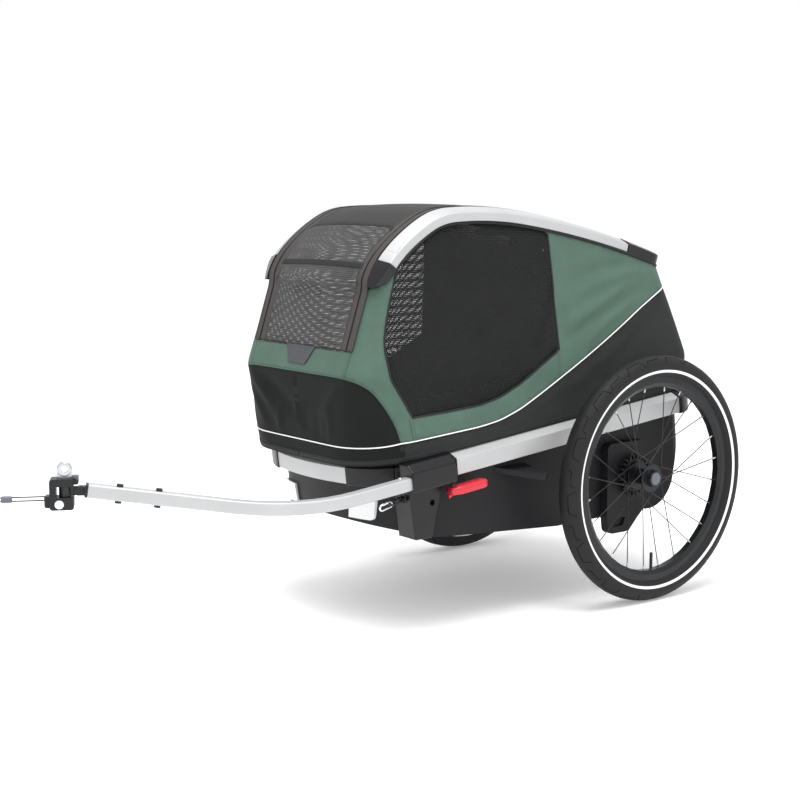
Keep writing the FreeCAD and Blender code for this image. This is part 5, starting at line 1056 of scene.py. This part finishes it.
# white piping on the seam of green and charcoal, and low across the front
pipeFront = [(d, piping["frontZ"] + (piping["sideZ"] - piping["frontZ"]) * (d / sideLine[0][0]) ** 5)
             for d in np.linspace(0, sideLine[0][0] - 12, 40)]
pipeFlat = np.concatenate([eased(pipeFront + [sideLine[0]], 6.0, 5)[:-1], sideEdge])
pipePath = onWall(pipeFlat, 1.0)[0]
pipePath = np.concatenate([pipePath[:0:-1] * (-1, 1, 1), pipePath])
pipes = newPiece("white_piping", *tubeMesh(pipePath, piping["radius"], 8), [pipingCloth])

# seams: a flat felled ridge with two rows of stitches
seams = {"wide": 7.0, "thick": 0.7, "rowAt": 2.2, "stitchMm": 4.2, "stitchLong": 2.9,
         "stitchR": 0.38, "proud": 0.75, "bandX": 158, "bandZ": (488, 510, 534), "bandStitch": (0.0, 3.0),
         "nose": ((-556, 390), (-552, 372)), "windowY": -186, "windowZ": (516, 490, 463),
         "skirtY": -578, "skirtZ": (364, 358, 352)}


def stitchRow(line, outward, across, shift):
    runs = runsOf(line)
    row = line + across * shift + outward * seams["proud"]
    parts = []
    for start in np.arange(1.0, runs[-1] - 3, seams["stitchMm"]):
        ends = [[np.interp(run, runs, row[:, k]) for k in range(3)]
                for run in (start, start + seams["stitchLong"])]
        parts.append(tubeMesh(ends, seams["stitchR"], 4) + (1,))
    return parts


def seamParts(flat):
    line, outward = onWall(refined(flat, 8.0, False))
    across = acrossOf(line, outward)
    made = [ribbonMesh(line, across, outward, seams["wide"], seams["thick"])]
    for shift in (-seams["rowAt"], seams["rowAt"]):
        made += stitchRow(line, outward, across, shift)
    return made


greenSeams = seamParts([(frontRun(seams["bandX"], z), z) for z in seams["bandZ"]])
greenSeams += seamParts([(sideRun(-560, 412), 411)] + alongSide(seams["nose"]))
greenSeams += seamParts(alongSide((seams["windowY"], z) for z in seams["windowZ"]))
bandLine, bandOut = onWall(bandEdge[:-2] + seams["bandStitch"])
greenSeams += stitchRow(bandLine, bandOut, acrossOf(bandLine, bandOut), 0.0)
coverSeams = pairedPiece("cover_seams", greenSeams, [sageCloth, sageCloth])

# the skirt's seams: one at the front corner, the turned hem, and the flap over the side rail
flap = {"front": -545.0, "rear": 140.0, "x": 222.6, "up": 2.2, "fallX": 6.0, "fallZ": 10.0, "wide": 12.0,
        "thick": 0.6, "count": 60}
hem = {"up": 5.0, "to": 1100.0, "wide": 9.0, "thick": 0.8, "stitchAt": 2.6}
darkSeams = seamParts(alongSide((seams["skirtY"], z) for z in seams["skirtZ"]))
hemFlat = np.array([(d, frameEdge(d) + hem["up"]) for d in np.linspace(1, hem["to"], 150)])
hemLine, hemOut = onWall(hemFlat)
hemAcross = acrossOf(hemLine, hemOut)
darkSeams.append(ribbonMesh(hemLine, hemAcross, hemOut, hem["wide"], hem["thick"]))
darkSeams += stitchRow(hemLine, hemOut, hemAcross, hem["stitchAt"])
flapY = np.linspace(flap["front"], flap["rear"], flap["count"])
flapLine = np.stack([np.full(flap["count"], flap["x"]), flapY, frameTop(flapY) + flap["up"]], 1)
fallX, fallZ = np.array((-flap["fallX"], -flap["fallZ"])) / math.hypot(flap["fallX"], flap["fallZ"])
flapAcross, flapOut = (np.tile(way, (flap["count"], 1))
                       for way in ((fallX, 0.0, fallZ), (fallZ, 0.0, -fallX)))
darkSeams.append(ribbonMesh(flapLine, flapAcross, flapOut, flap["wide"], flap["thick"]))
skirtSeams = pairedPiece("skirt_seams", darkSeams, [charcoalCloth, charcoalCloth])

# bare badge patch on the front band, a tapered plate with a raised rim, as layers of (inset, lift)
badge = {"top": 97.0, "low": 56.0, "zTop": 536.0, "zLow": 503.0, "thick": 2.4, "sunk": 0.4, "edge": 0.4,
         "taper": 1.15, "layers": ((0.0, 0.0), (0.0, 1.0), (0.7, 1.25), (3.2, 1.25), (4.0, 0.85), (14.0, 0.8))}


def badgePatch():
    points = []
    tall = badge["zTop"] - badge["zLow"]
    for inset, lift in badge["layers"]:
        for x, z in ((-1, 0), (-1, 1), (0, 1), (1, 1), (1, 0), (0, 0)):
            share = inset / tall
            wide = badge["low"] + (badge["top"] - badge["low"]) * (share + z * (1 - 2 * share))
            height = badge["zLow"] + inset + z * (tall - 2 * inset)
            y = -float(level(height)[0]) - lift * badge["thick"] + badge["sunk"]
            points.append((x * (wide / 2 - inset * badge["taper"]), y, height))
    return points, skin(len(badge["layers"]), 6)


badgePiece = newPiece("badge_patch", *badgePatch(), [badgePlastic], smooth=False)
addModifier(badgePiece, "BEVEL", width=badge["edge"] / 1000, segments=2)

# rear door: a slack panel between two zips, with a third zip along its foot
doorZ = np.linspace(rearDoor["low"], float(roofAt(roofRear, -3.0)[1]) + 3.0, 34)
doorX = np.linspace(-rearDoor["half"], rearDoor["half"], 44)
doorPoints, doorFaces, doorWeave = [], [], []
for z in doorZ:
    up = (z - doorZ[0]) / (doorZ[-1] - doorZ[0])
    for x in doorX:
        across = 1 - (x / rearDoor["half"]) ** 2
        shake = noise.noise((x / rearDoor["softAcross"], z / rearDoor["softUp"], 1.7))
        soft = rearDoor["soft"] * across * (shake + math.sin(up * math.pi))
        doorPoints.append((x, float(level(z)[1]) + rearDoor["proud"] + soft, z + float(sheetLift(x)) * up))
        doorWeave.append((x / 1000, z / 1000))
for j in range(len(doorZ) - 1):
    for a in range(j * len(doorX), (j + 1) * len(doorX) - 1):
        doorFaces.append((a + 1, a, a + len(doorX), a + len(doorX) + 1))
doorPiece = newPiece("rear_door_cloth", doorPoints, doorFaces, [charcoalCloth, liningCloth], None, doorWeave)
thicken(doorPiece)


def doorZipAt(x, z, over):  # x and z of a zip's points, at the wall's height over
    out = rearDoor["proud"] + zips["proud"]
    line = np.array([(a, float(level(h)[1]) + out, b) for a, b, h in zip(x, z, over)])
    return zipParts(line, np.tile((0.0, 1.0, 0.0), (len(line), 1)), zips["doorWide"])


zipZ = np.linspace(doorZ[-1] - 2, rearDoor["zipLow"], 40)
sideZip = doorZipAt([rearDoor["zipX"]] * 40, zipZ, zipZ)
footX = np.linspace(-rearDoor["footHalf"], rearDoor["footHalf"], 40)
footZip = doorZipAt(footX, [rearDoor["zipLow"] + 1.0] * 40, [rearDoor["zipLow"]] * 40)
doorParts = sideZip + [mirroredPart(p) for p in sideZip] + footZip
doorZips = joinedPiece("rear_door_zips", doorParts, [tapeCloth, darkPlastic])

# floor mat: a crowned pad with sewn channels, flat where it lies
mat = {"front": -491.0, "rear": 56.0, "half": 211.6, "low": 189.6, "thick": 14.0, "crown": 4.6, "channels": 5,
       "channelDeep": 4.0, "channelWide": 0.16, "edge": 34.0, "edgeShare": 0.28, "pullX": 0.012,
       "pullY": 0.01, "cornerX": 0.18, "cornerY": 0.14, "cornerIn": 0.05, "across": 40, "along": 64}
matMiddle, matLong = (mat["front"] + mat["rear"]) / 2, (mat["rear"] - mat["front"]) / 2


def padHeight(x, y):
    u, v = abs(x) / mat["half"], abs(y - matMiddle) / matLong
    edge = max(0.0, min(1.0, (1 - u) * mat["half"] / mat["edge"], (1 - v) * matLong / mat["edge"]))
    rise = mat["thick"] * (mat["edgeShare"] + (1 - mat["edgeShare"]) * math.sqrt(1 - (1 - edge) ** 2))
    rise += mat["crown"] * (1 - u ** 2) * (1 - v ** 2)
    wave = abs(math.sin((y - mat["front"]) / (2 * matLong) * math.pi * mat["channels"]))
    return rise - mat["channelDeep"] * math.exp(-(wave / mat["channelWide"]) ** 2) * edge


def padPlan(i, j):  # a place on the mat's outline plan: sides pulled in a little, corners drawn in
    u, v = i / mat["across"] * 2 - 1, j / mat["along"] * 2 - 1
    cornerX = max(0.0, abs(u) - 1 + mat["cornerX"]) / mat["cornerX"]
    cornerY = max(0.0, abs(v) - 1 + mat["cornerY"]) / mat["cornerY"]
    shrink = 1 - mat["cornerIn"] * cornerX * cornerY
    return u * mat["half"] * (1 - mat["pullX"] * (1 - v * v)) * shrink, \
        matMiddle + v * matLong * (1 - mat["pullY"] * (1 - u * u)) * shrink


plan = [padPlan(i, j) for j in range(mat["along"] + 1) for i in range(mat["across"] + 1)]
matPoints = [(x, y, mat["low"]) for x, y in plan] + [(x, y, mat["low"] + padHeight(x, y)) for x, y in plan]
width, base = mat["across"] + 1, len(plan)
matFaces = []
for j in range(mat["along"]):
    for a in range(j * width, (j + 1) * width - 1):
        matFaces.append((a, a + width, a + width + 1, a + 1))
        matFaces.append((base + a, base + a + 1, base + a + width + 1, base + a + width))
rim = list(range(width)) + list(range(2 * width - 1, base, width)) + \
    list(range(base - 2, base - width - 1, -1)) + list(range(base - 2 * width, 0, -width))
matFaces += [(a, b, base + b, base + a) for a, b in zip(rim, rim[1:] + rim[:1])]
pad = newPiece("floor_pad", matPoints, matFaces, [matCloth])
print("cloth pieces done")

# what each cloth piece rides on, stands for and folds with
for piece, body, slot, replaced in ((cover, "roof_frame", "green_fabric", "cabin_cover"),
                                    (windows, "roof_frame", "tinted_film", "side_windows"),
                                    (coverSeams, "roof_frame", "green_fabric", None),
                                    (badgePiece, "roof_frame", "grey_fabric", None),
                                    (skirt, "chassis", "charcoal_fabric", "skirt_fabric"),
                                    (skirtSeams, "chassis", "charcoal_fabric", None),
                                    (pipes, "chassis", "charcoal_fabric", None),
                                    (doorPiece, "chassis", "charcoal_fabric", "rear_door"),
                                    (doorZips, "chassis", "charcoal_fabric", None)):
    settle(piece, body, replaced)
    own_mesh(piece)
settle(roofCover, "roof_frame", "roof_fabric")
settle(frontNet, "roof_frame", "front_mesh_door")
settle(zipPiece, "roof_frame")
settle(keder, "roof_frame")
settle(pad, "chassis", "floor_mat")

# every carried-over piece: its finish, the same left and right, and edges broken by a small round in mm
finishes = ((tubPlastic, ("floor_tub", "axle_brackets", "wheel_guards")),
            (darkPlastic, ("frame_corners", "arm_receiver", "pedal_mount", "hoop_feet", "brake_pedal",
                           "roof_hinges")),
            (blackPlastic, ("hitch_stub", "hitch_head", "brake_ring", "lanyard_anchor")),
            (greyPlastic, ("latch_lever", "lanyard_bead", "hub_button")), (capPlastic, ("rail_caps",)),
            (redPlastic, ("arm_lock_lever",)), (reflector, ("front_reflectors",)),
            (anodised, ("side_rails", "front_crossbar", "rear_crossbar", "arm_tube", "top_rails")),
            (blackAlloy, ("roof_bows", "hoop_legs", "hoop_bar", "rim", "hub")),
            (zincSteel, ("wheel_axles", "axle_cup", "brake_pin", "hub_bearings")),
            (blackSteel, ("pivot_pins", "arm_bolts", "hitch_cross_pin", "hitch_pin", "hook_bail",
                          "hitch_cross")),
            (chromeSteel, ("arm_snap_pin", "lock_button", "snap_hook")), (spokeSteel, ("spokes",)))
finishOf = {name: finish for finish, names in finishes for name in names}
softEdge = {"floor_tub": 2.2, "arm_tube": 1.2, "side_rails": 1.4, "top_rails": 1.6, "arm_receiver": 2.4,
            "frame_corners": 2.4, "wheel_guards": 5.0, "hitch_head": 1.4, "rail_caps": 1.4,
            "brake_pedal": 1.4, "spokes": 0.0, "axle_brackets": 1.6, "front_reflectors": 1.6,
            "arm_lock_lever": 1.6}
usualEdge = 0.8
wideRound = ("arm_receiver", "frame_corners")  # few and large edges, so the round keeps its width
nippleFrom = 0.1735  # metres out from the axle
for node, thing in nodes.items():
    name = node.removesuffix("_left").removesuffix("_right")
    mesh = thing.data
    mesh.materials.clear()
    mesh.materials.append(finishOf.get(name, tubPlastic))
    if "custom_normal" in mesh.attributes:
        mesh.attributes.remove(mesh.attributes["custom_normal"])
    mesh.polygons.foreach_set("use_smooth", np.full(len(mesh.polygons), True))
    addModifier(thing, "WELD", merge_threshold=0.00002)
    width = softEdge.get(name, usualEdge) / 1000
    if width:
        addModifier(thing, "BEVEL", width=width, segments=2, limit_method="ANGLE",
                    angle_limit=math.radians(33), use_clamp_overlap=name not in wideRound)
    addModifier(thing, "WEIGHTED_NORMAL", mode="FACE_AREA", weight=60, keep_sharp=True)
    if name == "spokes":  # bright nipples on black spokes, told apart by how far out they are
        mesh.materials.append(zincSteel)
        middle = np.array([f.center for f in mesh.polygons]) - (0.0, axleY / 1000, tyre["centreZ"] / 1000)
        far = np.hypot(middle[:, 1], middle[:, 2]) > nippleFrom
        mesh.polygons.foreach_set("material_index", far.astype(np.int32))
print("carried-over pieces finished")
